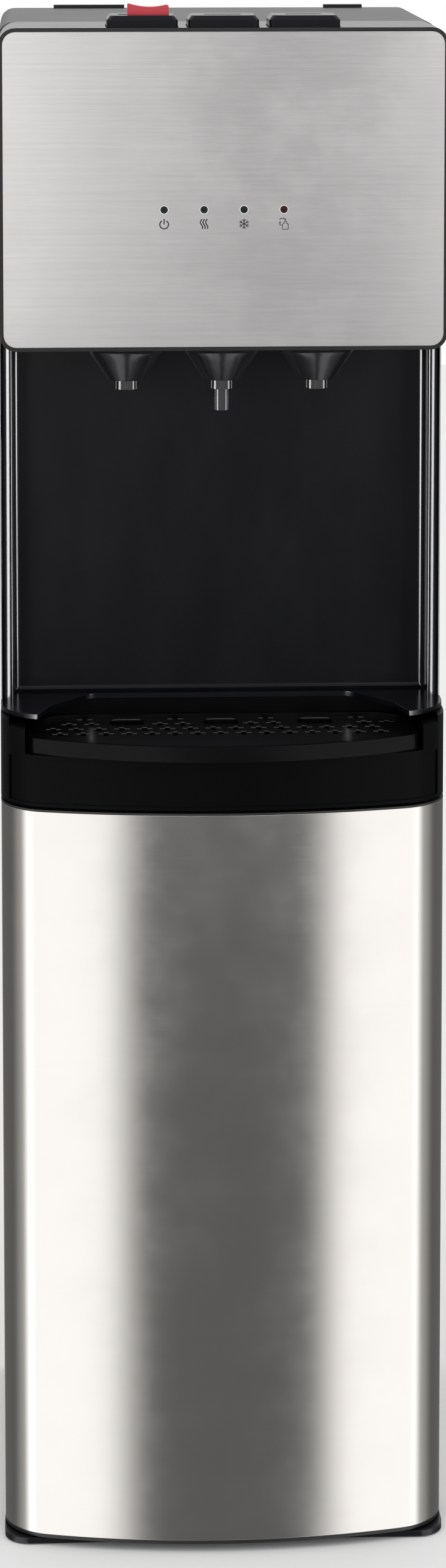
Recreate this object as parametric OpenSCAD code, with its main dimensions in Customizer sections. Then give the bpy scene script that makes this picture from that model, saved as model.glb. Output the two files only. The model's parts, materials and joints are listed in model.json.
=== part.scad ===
// Bottom-loading water cooler with a hinged bottle bay, three taps and top buttons.
// Millimetres. +Z is up, the front faces -Y, and the origin is the middle of the footprint on the floor.

/* [Cabinet] */
// Width across the side panels
body_w = 310; // [300:2:330]
// Depth from the front of the drip tray to the back edge
body_d = 360; // [356:2:390]
// Height of the flat top
body_h = 1067; // [1060:1:1100]
// Thickness of the sheet steel panels
sheet_t = 0.8; // [0.6:0.1:1.2]
// Wall of the moulded plastic shells
wall = 2.5; // [2:0.1:3]
// Gap between neighbouring fixed pieces
fit_gap = 0.3; // [0.2:0.05:0.5]
// Height of the bottle bay floor
bay_floor_z = 30; // [26:1:40]
// Height of the rear top cover
cover_h = 50; // [44:1:60]
// Height of everything above the lower edge of the bezel
upper_h = 537; // [530:1:545]
// Width of the rear flange of a side panel
rear_flange_w = 14; // [12:1:18]

/* [Base] */
// Height of the front ledge that shows below the door
ledge_z = 5; // [5:0.5:7]
// How far the ledge front lies behind the tray front
ledge_setback = 30; // [26:1:34]
// Corner radius of the ledge
ledge_corner_r = 18; // [10:1:22]
// Radius of a rubber foot pad
pad_r = 12; // [9:0.5:13]
// How far the pads lift the base off the floor
pad_lift = 1; // [0.6:0.1:2]
// Distance of the pads from the sides of the cabinet
pad_inset = 38; // [36:1:44]

/* [Door] */
// How far the tray front stands ahead of the door
tray_overhang = 12; // [8:1:16]
// Radius of the bowed door front
bow_r = 500; // [450:10:600]
// Radius of the door's front corners
corner_r = 40; // [34:1:44]
// Radius of the door's rear edges, round the hinge axis
hinge_r = 12; // [11:0.5:13]
// Length of the steel skin behind the front corner
skin_return = 3.4; // [2:0.2:5]
// Thickness of the steel skin
skin_t = 1; // [0.6:0.1:1.4]
// Height of the bottom edge of the steel skin
skin_z0 = 8.6; // [8:0.2:12]
// Thickness of the bottom end cap
bottom_cap_t = 2.6; // [1.5:0.1:2.6]
// Thickness of the top end cap
top_cap_t = 1.5; // [1:0.1:2]
// Gap between the door and the cabinet
door_gap = 2; // [1.5:0.1:3]
// Width of the solid edge of the door liner
liner_edge = 26; // [26:1:32]
// Radius of the hinge pins
hinge_pin_r = 4; // [3:0.25:5]
// Radial clearance of the hinge pins and the push rods
run_gap = 0.05; // [0.03:0.01:0.08]
// Length of a hinge pin inside the door
hinge_pin_len = 12; // [9:1:16]

/* [Niche and tray] */
// Gap between the top of the door and the bezel
bezel_gap = 2; // [1.5:0.1:3]
// Height of the bezel from its lower edge to the shelf
bezel_h = 58; // [54:1:62]
// Thickness of the shelf lip
shelf_t = 3.5; // [3:0.1:5]
// Distance of the niche back wall from the tray front
niche_depth = 122; // [116:1:126]
// Distance of the niche side edges from the tray front
wing_setback = 94; // [90:1:98]
// Fillet radius between the niche back and its sides
niche_fillet = 4; // [2:0.5:10]
// Fillet radius between the shelf and the niche back
foot_fillet = 4; // [2:0.5:10]
// Width of the rounded niche side edges
wing_w = 8; // [6:0.5:9]
// Distance of the tray recess wall from the tray front
recess_depth = 110; // [108:0.5:112]
// Gap between the tray and the lugs beside it
tray_side_gap = 3; // [2:0.5:5]
// Radius of the bowed tray front
tray_bow_r = 278; // [240:2:340]
// Height of the tray
tray_h = 10.7; // [10:0.1:12]
// How far the underside of the tray lies below the top of the bezel
tray_depth = 21.2; // [20:0.2:24]
// Radius of the rear corners of the tray
tray_corner_r = 30; // [24:1:36]
// Width of the rim round the grille
tray_rim = 4; // [3:0.5:5]
// Wall of the bowl below the grille
bowl_ledge = 4; // [3:0.5:6]
// Thickness of the grille
grille_t = 1.6; // [1.2:0.1:2.4]
// How far the grille lies below the tray rim
grille_drop = 2.3; // [1.5:0.1:3]
// Pitch of the plus-shaped grille holes along a row
plus_pitch = 16; // [15:0.5:20]
// Pitch of the rows of grille holes
row_pitch = 15; // [14:0.5:16]
// Span of one plus-shaped hole
plus_w = 11; // [8:0.5:12]
// Width of the arms of a plus-shaped hole
plus_arm = 3.5; // [2.5:0.1:4.5]
// Width of the slots under the taps
slot_w = 24.5; // [18:0.5:28]
// Rim above and below the shallow front panel of the bezel
panel_rim = 2.5; // [2:0.1:4]
// Depth of the shallow front panel of the bezel
panel_inset = 1; // [0.4:0.1:1.4]
// Width of the lugs beside the tray
lug_w = 11; // [8:0.5:12]

/* [Head] */
// Height of the head
head_h = 222; // [214:1:230]
// How far the head front lies behind the tray front
head_setback = 42; // [38:1:46]
// Depth of the head housing from its front to the top seam
head_d = 87; // [84:1:92]
// Corner radius of the head
head_r = 11.5; // [8:0.5:14]
// Width of the black frame round the steel plate
frame_w = 2.6; // [2:0.1:4]
// Thickness of the steel plate
plate_t = 1; // [0.6:0.1:1.2]
// Radius of the top rear edge
rear_edge_r = 23; // [16:1:24]
// How far the indicator lamps lie below the top
lamp_drop = 124.6; // [110:0.2:140]
// Pitch of the indicator lamps
lamp_pitch = 27.4; // [20:0.2:32]
// Radius of an indicator lamp
lamp_r = 2.5; // [2:0.1:3]

/* [Buttons] */
// Width of a button
button_w = 48.5; // [44:0.5:50]
// Depth of a button
button_d = 43; // [41:0.5:46]
// Pitch of the buttons
button_pitch = 55.6; // [54:0.2:60]
// How far a button stands above the top
button_h = 8; // [6:0.5:10]
// Travel of a button
button_travel = 4; // [3:0.5:4.5]
// Clearance round a button in its well
button_gap = 0.6; // [0.4:0.1:1]
// Length of the groove in the top of a plain button
groove_l = 25; // [18:0.5:28]
// Width of that groove
groove_w = 7; // [4:0.5:9]
// Length of the lock slider
lock_w = 29; // [24:1:30]
// How far the middle of the lock lies right of the middle of its button
lock_offset = 4.4; // [3:0.2:5]
// Travel of the lock slider
lock_travel = 6; // [4:0.5:7]

/* [Taps] */
// Pitch of the taps
tap_pitch = 66.4; // [64:0.2:69]
// Distance of the taps from the tray front
tap_setback = 82; // [80:0.5:84]
// Radius of a push rod
rod_r = 3; // [2.5:0.1:3.5]
// Outer radius of a nozzle
nozzle_r = 7.45; // [6.5:0.05:8]
// Inner radius of a nozzle
nozzle_bore_r = 5; // [4.8:0.1:5.5]
// Depth of the nozzle tip below the head
nozzle_drop = 31.4; // [28:0.2:36]
// Depth of the centre spout tip below the head
spout_drop = 46.6; // [42:0.2:52]
// Outer radius of a valve body
valve_r = 15; // [13:0.5:16]

/* [Water and cooling] */
// Height of the compressor shelf above the lower edge of the bezel
comp_shelf_rise = 36; // [34:1:42]
// Room for lines between the compressor and the tank shelf
line_room = 40; // [36:1:46]
// Gap between the two insulated tanks
tank_gap = 12; // [8:1:14]
// Radius of the cold tank
cold_r = 62; // [56:1:63]
// Height of the cold tank
cold_h = 190; // [180:2:196]
// Radius of the hot tank
hot_r = 45; // [38:1:46]
// Height of the hot tank
hot_h = 165; // [150:1:168]
// Radius of the compressor shell
comp_r = 70; // [60:1:72]
// Height of the compressor shell
comp_h = 148; // [130:1:152]
// Radius of the water hoses
hose_r = 5; // [4:0.25:5.5]
// Radius of the copper tubes
tube_r = 2.4; // [2:0.1:2.8]
// Number of straight runs in the condenser
condenser_runs = 14; // [10:1:15]
// Height of the lowest condenser run above the compressor shelf
condenser_rise = 66; // [62:1:74]
// Pitch of the condenser runs
condenser_pitch = 28; // [20:1:28]
// Number of condenser wires on each side
wire_count = 20; // [10:1:26]
// Number of turns of the evaporator coil
coil_turns = 8; // [5:1:8]

/* [Suction lance] */
// Radius of the lance tube
lance_r = 5; // [4:0.25:5]
// Distance of the lance from the side of the cabinet
lance_inset = 26.5; // [26:0.5:28]
// Radius of the lance collar
collar_r = 24; // [20:0.5:24]
// How far the collar's lower face lies below the compressor shelf
collar_drop = 100; // [94:1:106]
// Radius of the free hose of the lance
free_hose_r = 4; // [3.5:0.25:4.5]

/* [Hidden] */
half_w = body_w / 2;
side_top_z = body_h - cover_h;
head_z = body_h - head_h;
lamp_z = body_h - lamp_drop;
bezel_z = body_h - upper_h;
door_top_z = bezel_z - bezel_gap;
skin_z1 = door_top_z - top_cap_t;
front_y = -body_d / 2;
back_y = body_d / 2;
panel_x = half_w - sheet_t;
inner_x = panel_x - 0.2;
door_y = front_y + tray_overhang;
bow_y = door_y + bow_r;
corner_x = half_w - corner_r;
corner_y = bow_y - sqrt(pow(bow_r - corner_r, 2) - pow(corner_x, 2));
meet = -atan2(corner_y - bow_y, corner_x);
hinge_x = half_w - hinge_r;
hinge_y = corner_y + skin_return;
door_back_y = hinge_y + hinge_r;
cab_y = door_back_y + door_gap;
cap_z0 = skin_z0 - bottom_cap_t;
liner_side = half_w - liner_edge;
shelf_z = bezel_z + bezel_h;
bezel_top = shelf_z - fit_gap;
shelf_top = shelf_z + shelf_t;
niche_y = front_y + niche_depth;
wing_y = front_y + wing_setback;
upper_y = wing_y + 2;
recess_y = front_y + recess_depth;
ledge_y = front_y + ledge_setback;
pad_x = half_w - pad_inset;
pad_front_y = ledge_y + pad_r + 10;
pad_rear_y = back_y - pad_r - 18;
pad_t = ledge_z - 1.3;
head_y = front_y + head_setback;
head_half_w = half_w - 1;
seam_y = head_y + head_d;
plate_y = head_y + 0.4;
head_wall_y = plate_y + plate_t;
head_in_y = head_wall_y + wall;
cover_y = seam_y + fit_gap;
lamp_y = head_y + 0.2;
board_y = head_in_y + 3;
button_y = head_in_y + 0.5 + button_d / 2;
button_top = body_h + button_h;
skirt_z = body_h - 15;
boss_z = body_h - 7;
guide_z = boss_z - 20;
guide_t = 3;
tap_y = front_y + tap_setback;
valve_z = head_z - 7;
valve_h = 48;
seat_z = head_z + 13;
port_z = head_z + 25;
seal_z = seat_z - fit_gap;
tray_z = bezel_top - tray_depth;
recess_z = tray_z - fit_gap;
tray_top = tray_z + tray_h;
tray_back_y = recess_y - 0.8;
tray_bow_y = front_y + tray_bow_r;
lug_x = half_w - 6;
tray_half_w = lug_x - lug_w - tray_side_gap;
grille_z = tray_top - grille_drop - grille_t;
shelf_sheet_t = 1.5;
foam_gap = 7;
side_gap = 4;
jacket_side_gap = 12;
foam_t = (2 * inner_x - side_gap - jacket_side_gap - tank_gap - 2 * cold_r - 2 * hot_r) / 4;
cold_foam_r = cold_r + foam_t;
hot_jacket_r = hot_r + foam_t;
cold_x = inner_x - side_gap - cold_foam_r;
cold_y = 60;
hot_x = jacket_side_gap + hot_jacket_r - inner_x;
hot_y = 60;
comp_shelf_z = bezel_z + comp_shelf_rise;
bolt_r = 3;
screw_r = 1.8;
mount_h = 12;
comp_plate_z = comp_shelf_z + shelf_sheet_t + mount_h;
comp_z = comp_plate_z + 2.5;
comp_plate_w = 2 * comp_r + 44;
comp_plate_d = 2 * comp_r - 36;
comp_x = comp_plate_w / 2 + side_gap - inner_x;
comp_y = 65;
foot_dx = comp_plate_w / 2 - 10;
foot_dy = comp_plate_d / 2 - 10;
tank_shelf_z = comp_z + comp_h + line_room;
tank_z = tank_shelf_z + 15;
foam_z = tank_shelf_z + shelf_sheet_t + 0.3;
service_y = back_y - 20;
service_top = comp_shelf_z + 56;
drain_z = comp_shelf_z + 26;
drain_r = 7;
gland_x = -20;
gland_bore_r = 3.8;
condenser_z = comp_shelf_z + condenser_rise;
condenser_y = back_y - 0.8 - 3.3;
bend_r = condenser_pitch / 2;
condenser_x = half_w - rear_flange_w - 8 - bend_r / 2;
switch_xs = [half_w - 59, half_w - 31];
switch_z = side_top_z + 13;
rocker_y = back_y - 6;
lance_x = half_w - lance_inset;
lance_y = niche_y + 13;
collar_z = comp_shelf_z - collar_drop;
collar_h = 18;
port_xy = [half_w - 15, 80];

// Outlines

function unit(v) = v / norm(v);

function arc(cx, cy, r, a0, a1, n, first = 0) =
    [for (i = [first:n]) let (a = a0 + (a1 - a0) * i / n) [cx + r * cos(a), cy + r * sin(a)]];

// Round one corner of an outline, b, between its neighbours a and c
function fillet(a, b, c, r, n = 6) =
    r == 0 ? [b] :
    let (
        u = unit(a - b),
        v = unit(c - b),
        half = acos(max(-1, min(1, u * v))) / 2,
        o = b + unit(u + v) * (r / sin(half)),
        s = b + u * (r / tan(half)) - o,
        e = b + v * (r / tan(half)) - o,
        a0 = atan2(s[1], s[0]),
        turn = atan2(s[0] * e[1] - s[1] * e[0], s * e)
    )
    [for (i = [0:n]) o + r * [cos(a0 + turn * i / n), sin(a0 + turn * i / n)]];

function rounded(pts, radii, n = 6) =
    let (k = len(pts))
    [for (i = [0:k - 1]) each fillet(pts[(i + k - 1) % k], pts[i], pts[(i + 1) % k], radii[i], n)];

// Half an outline at positive X, completed by its mirror image
function mirrored(half) =
    concat(half, [for (i = [len(half) - 1:-1:0]) [-half[i][0], half[i][1]]]);

module round_rect(w, h, r, n = 6) {
    polygon(rounded([[w / 2, -h / 2], [w / 2, h / 2], [-w / 2, h / 2], [-w / 2, -h / 2]], [r, r, r, r], n));
}

// The bowed front of the door and the bezel, with its rounded corners, inset evenly
function front_outline(inset) = concat(
    arc(-corner_x, corner_y, corner_r - inset, 180, 360 - (180 - meet), 8),
    arc(0, bow_y, bow_r - inset, 180 + meet, 360 - meet, 24, 1),
    arc(corner_x, corner_y, corner_r - inset, 360 - meet, 360, 8, 1)
);

module front_plan(inset, back) {
    polygon(concat(front_outline(inset), [[half_w - inset, back], [-half_w + inset, back]]));
}

module door_plan(inset) {
    polygon(concat(
        front_outline(inset),
        arc(hinge_x, hinge_y, hinge_r - inset, 0, 90, 6),
        arc(-hinge_x, hinge_y, hinge_r - inset, 90, 180, 6)
    ));
}

// Tubes and hoses

function tangent(p, i) = unit(p[min(i + 1, len(p) - 1)] - p[max(i - 1, 0)]);

// A normal carried along the path without twist
function normals(p, i = 0, n = undef) =
    i >= len(p) ? [] :
    let (
        t = tangent(p, i),
        seed = is_undef(n) ? (abs(t[2]) < 0.9 ? [0, 0, 1] : [0, 1, 0]) : n,
        m = unit(seed - (seed * t) * t)
    )
    concat([m], normals(p, i + 1, m));

module tube(path, r, sides = 8) {
    rings = len(path);
    ns = normals(path);
    points = [
        for (i = [0:rings - 1]) let (b = cross(tangent(path, i), ns[i]))
        for (k = [0:sides - 1]) path[i] + r * (cos(360 * k / sides) * ns[i] + sin(360 * k / sides) * b)
    ];
    walls = [
        for (i = [0:rings - 2]) for (k = [0:sides - 1])
        let (a = i * sides + k, b = i * sides + (k + 1) % sides)
        each [[a, a + sides, b], [b, a + sides, b + sides]]
    ];
    ends = concat(
        [for (k = [1:sides - 2]) [0, k, k + 1]],
        [for (k = [1:sides - 2]) let (e = (rings - 1) * sides) [e, e + k + 1, e + k]]
    );
    polyhedron(concat(points), concat(walls, ends));
}

// A smooth curve through chosen points
function curve(p, n = 6) = [
    for (i = [0:len(p) - 2])
    let (a = p[max(i - 1, 0)], b = p[i], c = p[i + 1], d = p[min(i + 2, len(p) - 1)])
    for (k = [0:(i == len(p) - 2 ? n : n - 1)])
    let (t = k / n)
    0.5 * ((2 * b) + (c - a) * t + (2 * a - 5 * b + 4 * c - d) * t * t + (3 * b - a - 3 * c + d) * t * t * t)
];

module pipe(outer, bore, z0, z1) {
    translate([0, 0, z0]) difference() {
        cylinder(r = outer, h = z1 - z0, $fn = 48);
        translate([0, 0, -1]) cylinder(r = bore, h = z1 - z0 + 2, $fn = 48);
    }
}

module at_taps() {
    for (k = [-1:1]) translate([k * tap_pitch, tap_y, 0]) children();
}

// Cabinet

module base_plinth() {
    color("#151617") difference() {
        union() {
            translate([0, 0, pad_lift]) linear_extrude(ledge_z - pad_lift)
                polygon(rounded(
                    [[half_w, ledge_y], [half_w, back_y], [-half_w, back_y], [-half_w, ledge_y]],
                    [ledge_corner_r, 2, 2, ledge_corner_r]
                ));
            translate([-inner_x, cab_y + 1, pad_lift])
                cube([2 * inner_x, back_y - sheet_t - fit_gap - cab_y - 1, bay_floor_z - pad_lift]);
        }
        difference() {
            translate([-inner_x + 4, cab_y + 5, 0])
                cube([2 * inner_x - 8, back_y - 12 - cab_y, bay_floor_z - 3]);
            for (side = [-1, 1]) translate([side * pad_x, pad_rear_y, 0])
                cylinder(r = pad_r + 4, h = bay_floor_z, $fn = 48);
        }
        at_pads() translate([0, 0, -1]) cylinder(r = pad_r + fit_gap, h = 1 + pad_t, $fn = 48);
        translate([hinge_x, hinge_y, ledge_z]) hinge_pocket(-1);
    }
}

module at_pads() {
    for (side = [-1, 1], y = [pad_front_y, pad_rear_y]) translate([side * pad_x, y, 0]) children();
}

module foot_pads() {
    color("#1c1c1c") at_pads() cylinder(r = pad_r, h = pad_t, $fn = 48);
}

hinge_plate_t = 2;
hinge_plate_in = 10;
hinge_plate_w = hinge_plate_in + hinge_r - 1;

// The recess that holds a hinge plate, cut down (-1) or up (+1) from a face
module hinge_pocket(way) {
    depth = hinge_plate_t + 0.01;
    translate([-hinge_plate_in - fit_gap, -hinge_plate_in - fit_gap, way > 0 ? -0.01 : -depth])
        cube([hinge_plate_w + 2 * fit_gap, 2 * hinge_plate_in + 2 * fit_gap, depth + 0.01]);
}

module hinge_bracket(way) {
    translate([-hinge_plate_in, -hinge_plate_in, way > 0 ? 0 : -hinge_plate_t])
        cube([hinge_plate_w, 2 * hinge_plate_in, hinge_plate_t]);
}

module door_hinges() {
    color("#a9abad") {
        translate([hinge_x, hinge_y, ledge_z]) {
            hinge_bracket(-1);
            translate([0, 0, -hinge_plate_t]) 
                cylinder(r = hinge_pin_r, h = hinge_plate_t + skin_z0 - ledge_z + hinge_pin_len, $fn = 48);
        }
        translate([hinge_x, hinge_y, bezel_z]) {
            hinge_bracket(1);
            translate([0, 0, skin_z1 - hinge_pin_len - bezel_z])
                cylinder(r = hinge_pin_r, h = bezel_z - skin_z1 + hinge_pin_len + hinge_plate_t, $fn = 48);
        }
    }
}

// A flat steel side: lower part up to the shelf, upper part beside the niche and head, and a rear flange
module side_panel(side) {
    low = side > 0 ? panel_x : -half_w;
    flange = side > 0 ? half_w - rear_flange_w : -half_w;
    color("#9b9da1") {
        translate([low, cab_y, ledge_z]) cube([sheet_t, back_y - cab_y, shelf_z - ledge_z]);
        translate([low, upper_y, shelf_z - 1]) cube([sheet_t, back_y - upper_y, side_top_z - shelf_z + 1]);
        translate([flange, back_y - sheet_t, ledge_z]) cube([rear_flange_w, sheet_t, side_top_z - ledge_z]);
    }
}

module left_side_panel() {
    side_panel(-1);
}

module right_side_panel() {
    side_panel(1);
}

// The sheet behind the bottle bay, held between the rear flanges
module back_panel() {
    w = body_w - 2 * rear_flange_w - 2 * fit_gap;
    color("#8b8d90")
        translate([-w / 2, back_y - sheet_t, ledge_z + fit_gap])
            cube([w, sheet_t, comp_shelf_z - ledge_z]);
}

// The recessed panel above the bay that carries the drains and the cord gland
module service_panel() {
    z0 = comp_shelf_z + shelf_sheet_t;
    color("#8b8d90") difference() {
        union() {
            translate([-inner_x, service_y, z0]) cube([2 * inner_x, sheet_t, service_top - z0]);
            translate([-inner_x, service_y - 12, z0]) cube([2 * inner_x, 12 + sheet_t, sheet_t]);
        }
        for (x = drain_xs) translate([x, service_y - 1, drain_z]) rotate([-90, 0, 0])
            cylinder(r = drain_r + fit_gap, h = sheet_t + 2, $fn = 48);
        translate([gland_x, service_y - 1, drain_z]) rotate([-90, 0, 0])
            cylinder(r = 9 + fit_gap, h = sheet_t + 2, $fn = 48);
        at_service_screws() translate([0, 0, -1]) cylinder(r = screw_r + 0.1, h = 3, $fn = 24);
    }
}

module compressor_shelf() {
    y0 = recess_y + wall + fit_gap;
    color("#9a9c9e") difference() {
        union() {
            translate([-inner_x, y0, comp_shelf_z])
                cube([2 * inner_x, back_y - sheet_t - fit_gap - y0, shelf_sheet_t]);
            for (side = [0, 1]) translate([side ? inner_x - sheet_t : -inner_x, y0, comp_shelf_z])
                cube([sheet_t, service_y - 14 - y0, 14]);
        }
        translate([port_xy[0], port_xy[1], comp_shelf_z - 1])
            cylinder(r = hose_r + fit_gap, h = shelf_sheet_t + 2, $fn = 32);
    }
}

module tank_shelf() {
    y0 = niche_y + wall + 6;
    y1 = 135;
    color("#9a9c9e") difference() {
        union() {
            translate([-inner_x, y0, tank_shelf_z]) cube([2 * inner_x, y1 - y0, shelf_sheet_t]);
            for (side = [0, 1]) translate([side ? inner_x - sheet_t : -inner_x, y0, tank_shelf_z])
                cube([sheet_t, y1 - y0, 14]);
        }
        for (x = concat(cold_ports, hot_ports))
            translate([x, cold_y, tank_shelf_z - 1]) cylinder(r = hose_r + 1, h = 4, $fn = 32);
    }
}

// Niche, bezel and tray

// The plan of the niche moulding from its left front edge to its right front edge
wing_out_x = inner_x - fit_gap;
wing_in_x = wing_out_x - wing_w;
wing_lip_r = 1.7;
wing_out_r = wing_w - wing_lip_r;
niche_half = concat(
    [[wing_in_x - niche_fillet, niche_y]],
    arc(wing_in_x - niche_fillet, niche_y - niche_fillet, niche_fillet, 90, 0, 8, 1),
    arc(wing_in_x + wing_lip_r, wing_y + wing_lip_r, wing_lip_r, 180, 270, 4),
    arc(wing_out_x - wing_out_r, wing_y + wing_out_r, wing_out_r, 270, 360, 10, 1),
    [[wing_out_x, niche_y - 1], [wing_out_x - wall - 1, niche_y + wall]]
);

// The plan of the shelf: two lobes beside the tray recess, joined behind it
lobe_setback = 15;
lobe_tip_x = tray_half_w - 5;
lobe_cy = corner_y + lobe_setback;
lobe_turn = acos((lobe_tip_x - corner_x) / corner_r);
lobe_tip_y = lobe_cy - corner_r * sin(lobe_turn);
lobe_in = [tray_half_w - 42, recess_y];
lobe_mid = [tray_half_w - 14, recess_y - 39];
shelf_half = concat(
    fillet([0, recess_y], lobe_in, lobe_mid, 12),
    fillet(lobe_in, lobe_mid, [lobe_tip_x, lobe_tip_y], 20),
    [[lobe_tip_x - 1, lobe_tip_y + 0.6], [lobe_tip_x, lobe_tip_y]],
    arc(corner_x, lobe_cy, corner_r, -lobe_turn + 8, 0, 8),
    [[half_w, wing_y], [wing_out_x, wing_y + 0.01], [wing_out_x, niche_y + wall]]
);

module niche_panel() {
    color("#16171b") {
        translate([0, 0, shelf_top - 0.01]) linear_extrude(head_z - fit_gap - shelf_top)
            polygon(mirrored([for (i = [len(niche_half) - 1:-1:0]) niche_half[i]]));
        translate([0, 0, shelf_z]) linear_extrude(shelf_t)
            polygon(mirrored([for (i = [len(shelf_half) - 1:-1:0]) shelf_half[i]]));
        // Rounded inner corner between the shelf and the back wall
        translate([-wing_in_x - 1, 0, 0]) rotate([90, 0, 90]) linear_extrude(2 * wing_in_x + 2)
            polygon(concat(
                arc(niche_y - foot_fillet, shelf_top + foot_fillet, foot_fillet, 0, -90, 8),
                [
                    [niche_y - foot_fillet, shelf_top - 1],
                    [niche_y + 1, shelf_top - 1],
                    [niche_y + 1, shelf_top + foot_fillet]
                ]
            ));
    }
}

module tray_bezel() {
    color("#0e0f10") difference() {
        translate([0, 0, bezel_z]) linear_extrude(bezel_top - bezel_z)
            front_plan(0, recess_y + wall);
        // Hollow under the recess floor
        translate([0, 0, bezel_z - 1]) linear_extrude(recess_z - wall - bezel_z + 1) difference() {
            intersection() {
                front_plan(wall, back_y);
                translate([-liner_side, front_y]) square([2 * liner_side, body_d]);
            }
        }
        // Shallow panel in the front face
        translate([0, 0, bezel_z + panel_rim]) linear_extrude(recess_z - bezel_z - 2 * panel_rim)
            difference() {
                intersection() {
                    front_plan(-1, corner_y);
                    translate([-lug_x, front_y]) square([2 * lug_x, body_d]);
                }
                front_plan(panel_inset, back_y);
            }
        // Tray recess, open at the front, wider above the lugs
        translate([-lug_x + lug_w, front_y, recess_z]) cube([2 * (lug_x - lug_w), recess_depth, bezel_h]);
        translate([-lug_x, front_y, bezel_top - 4]) cube([2 * lug_x, recess_depth, bezel_h]);
        // The wider body behind the cabinet front fits between the side panels
        for (side = [-1, 1]) translate([side * half_w, cab_y + body_d / 2 - 0.3, bezel_z])
            cube([2 * (half_w - inner_x), body_d, 3 * bezel_h], center = true);
        translate([hinge_x, hinge_y, bezel_z]) hinge_pocket(1);
        translate([hinge_x, hinge_y, bezel_z - 1]) cylinder(r = hinge_pin_r + fit_gap, h = 2, $fn = 48);
    }
}

// The tray outline with its straight back and bowed front, inset evenly
function tray_outline(inset) =
    let (
        w = tray_half_w - inset,
        r = tray_bow_r - inset,
        back = tray_back_y - inset,
        end = tray_bow_y - sqrt(r * r - w * w),
        bow = arc(0, tray_bow_y, r, -90 - asin(w / r), -90 + asin(w / r), 20),
        k = tray_corner_r - inset
    )
    concat(
        fillet([-w, back], [-w, end], bow[1], 8 - inset / 2, 4),
        [for (i = [1:19]) bow[i]],
        fillet(bow[19], [w, end], [w, back], 8 - inset / 2, 4),
        fillet([w, end], [w, back], [0, back], k, 6),
        fillet([0, back], [-w, back], [-w, end], k, 6)
    );

module drip_tray() {
    color("#0c0d0e") difference() {
        translate([0, 0, tray_z]) linear_extrude(tray_h) polygon(tray_outline(0));
        translate([0, 0, grille_z]) linear_extrude(tray_h) polygon(tray_outline(tray_rim - fit_gap));
        translate([0, 0, tray_z + 1.5]) linear_extrude(tray_h) polygon(tray_outline(tray_rim + bowl_ledge));
    }
}

slot_d = row_pitch + 5;
first_row_y = tray_back_y - tray_rim - 5.5;
slot_y = first_row_y - row_pitch / 2 - 1.5;
row_shift = 0.3;

function clear_of_slots(x, y) =
    let (gap = plus_w / 2 + 1.5)
    min([for (k = [-1:1]) max(abs(x - k * tap_pitch) - slot_w / 2, abs(y - slot_y) - slot_d / 2)]) > gap;

// Half the width of the grille at one depth, inside its rounded rear corners
function grille_reach(y) =
    let (d = tray_back_y - y, k = tray_corner_r)
    tray_half_w - (d < k ? k - sqrt(k * k - pow(k - d, 2)) : 0);

module plus_hole() {
    square([plus_w, plus_arm], center = true);
    square([plus_arm, plus_w], center = true);
}

module drip_grille() {
    cols = ceil(tray_half_w / plus_pitch) + 1;
    color("#101112") difference() {
        translate([0, 0, grille_z]) linear_extrude(grille_t) polygon(tray_outline(tray_rim));
        translate([0, 0, grille_z - 1]) linear_extrude(grille_t + 2) {
            for (row = [0:3], col = [-cols:cols]) {
                x = (col + row * row_shift) * plus_pitch;
                y = first_row_y - row * row_pitch;
                reach = grille_reach(y + plus_w / 2) - tray_rim - bowl_ledge - plus_w / 2;
                if (abs(x) < reach && clear_of_slots(x, y)) translate([x, y]) plus_hole();
            }
            for (k = [-1:1]) translate([k * tap_pitch, slot_y]) round_rect(slot_w, slot_d, 6);
        }
    }
}

// Head

module head_profile(inset) {
    translate([0, (body_h + head_z) / 2])
        round_rect(2 * (head_half_w - inset), body_h - head_z - 2 * inset, head_r - inset);
}

// Stand an outline drawn in X and Z upright, from y0 to y1
module upright(y0, y1) {
    translate([0, y1, 0]) rotate([90, 0, 0]) linear_extrude(y1 - y0) children();
}

module head_housing() {
    color("#1b1c20") difference() {
        union() {
            difference() {
                upright(head_y, seam_y) head_profile(0);
                upright(head_y - 1, head_wall_y) head_profile(frame_w);
                upright(head_in_y, seam_y + 1) head_profile(wall);
            }
            // Shelf that guides the push rods and carries the button springs
            translate([-button_pitch - 40, head_in_y - 0.5, guide_z])
                cube([2 * button_pitch + 80, tap_y + 20 - head_in_y, guide_t]);
            // Posts for the indicator board
            for (side = [-1, 1]) translate([side * 46, head_in_y - 0.5, lamp_z + 8]) rotate([-90, 0, 0])
                cylinder(r = 3, h = board_y - head_in_y + 0.5, $fn = 32);
        }
        for (k = [-1:1]) translate([k * button_pitch, button_y, body_h])
            cube([button_w + 2 * button_gap, button_d + 2 * button_gap - 0.2, 4 * wall], center = true);
        at_taps() translate([0, 0, head_z - 1]) cylinder(r = valve_r + fit_gap, h = wall + 2, $fn = 64);
        at_taps() translate([0, 0, guide_z - 1]) cylinder(r = rod_r + run_gap, h = guide_t + 2, $fn = 48);
        at_lamps() cylinder(r = lamp_r + fit_gap, h = 12, $fn = 32);
    }
}

module at_lamps() {
    for (k = [-1.5:1:1.5]) translate([k * lamp_pitch, lamp_y, lamp_z]) rotate([-90, 0, 0]) children();
}

module head_plate() {
    color("#c4c3c4") difference() {
        upright(plate_y, head_wall_y) head_profile(frame_w + 0.1);
        at_lamps() translate([0, 0, -1]) cylinder(r = lamp_r + fit_gap, h = 12, $fn = 32);
    }
}

module indicator_lamps() {
    color("#22352c") at_lamps() cylinder(r = lamp_r, h = board_y - lamp_y, $fn = 32);
}

module indicator_board() {
    color("#1f5a3a") translate([-54, board_y, lamp_z - 12]) cube([108, 1.6, 24]);
}

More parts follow.
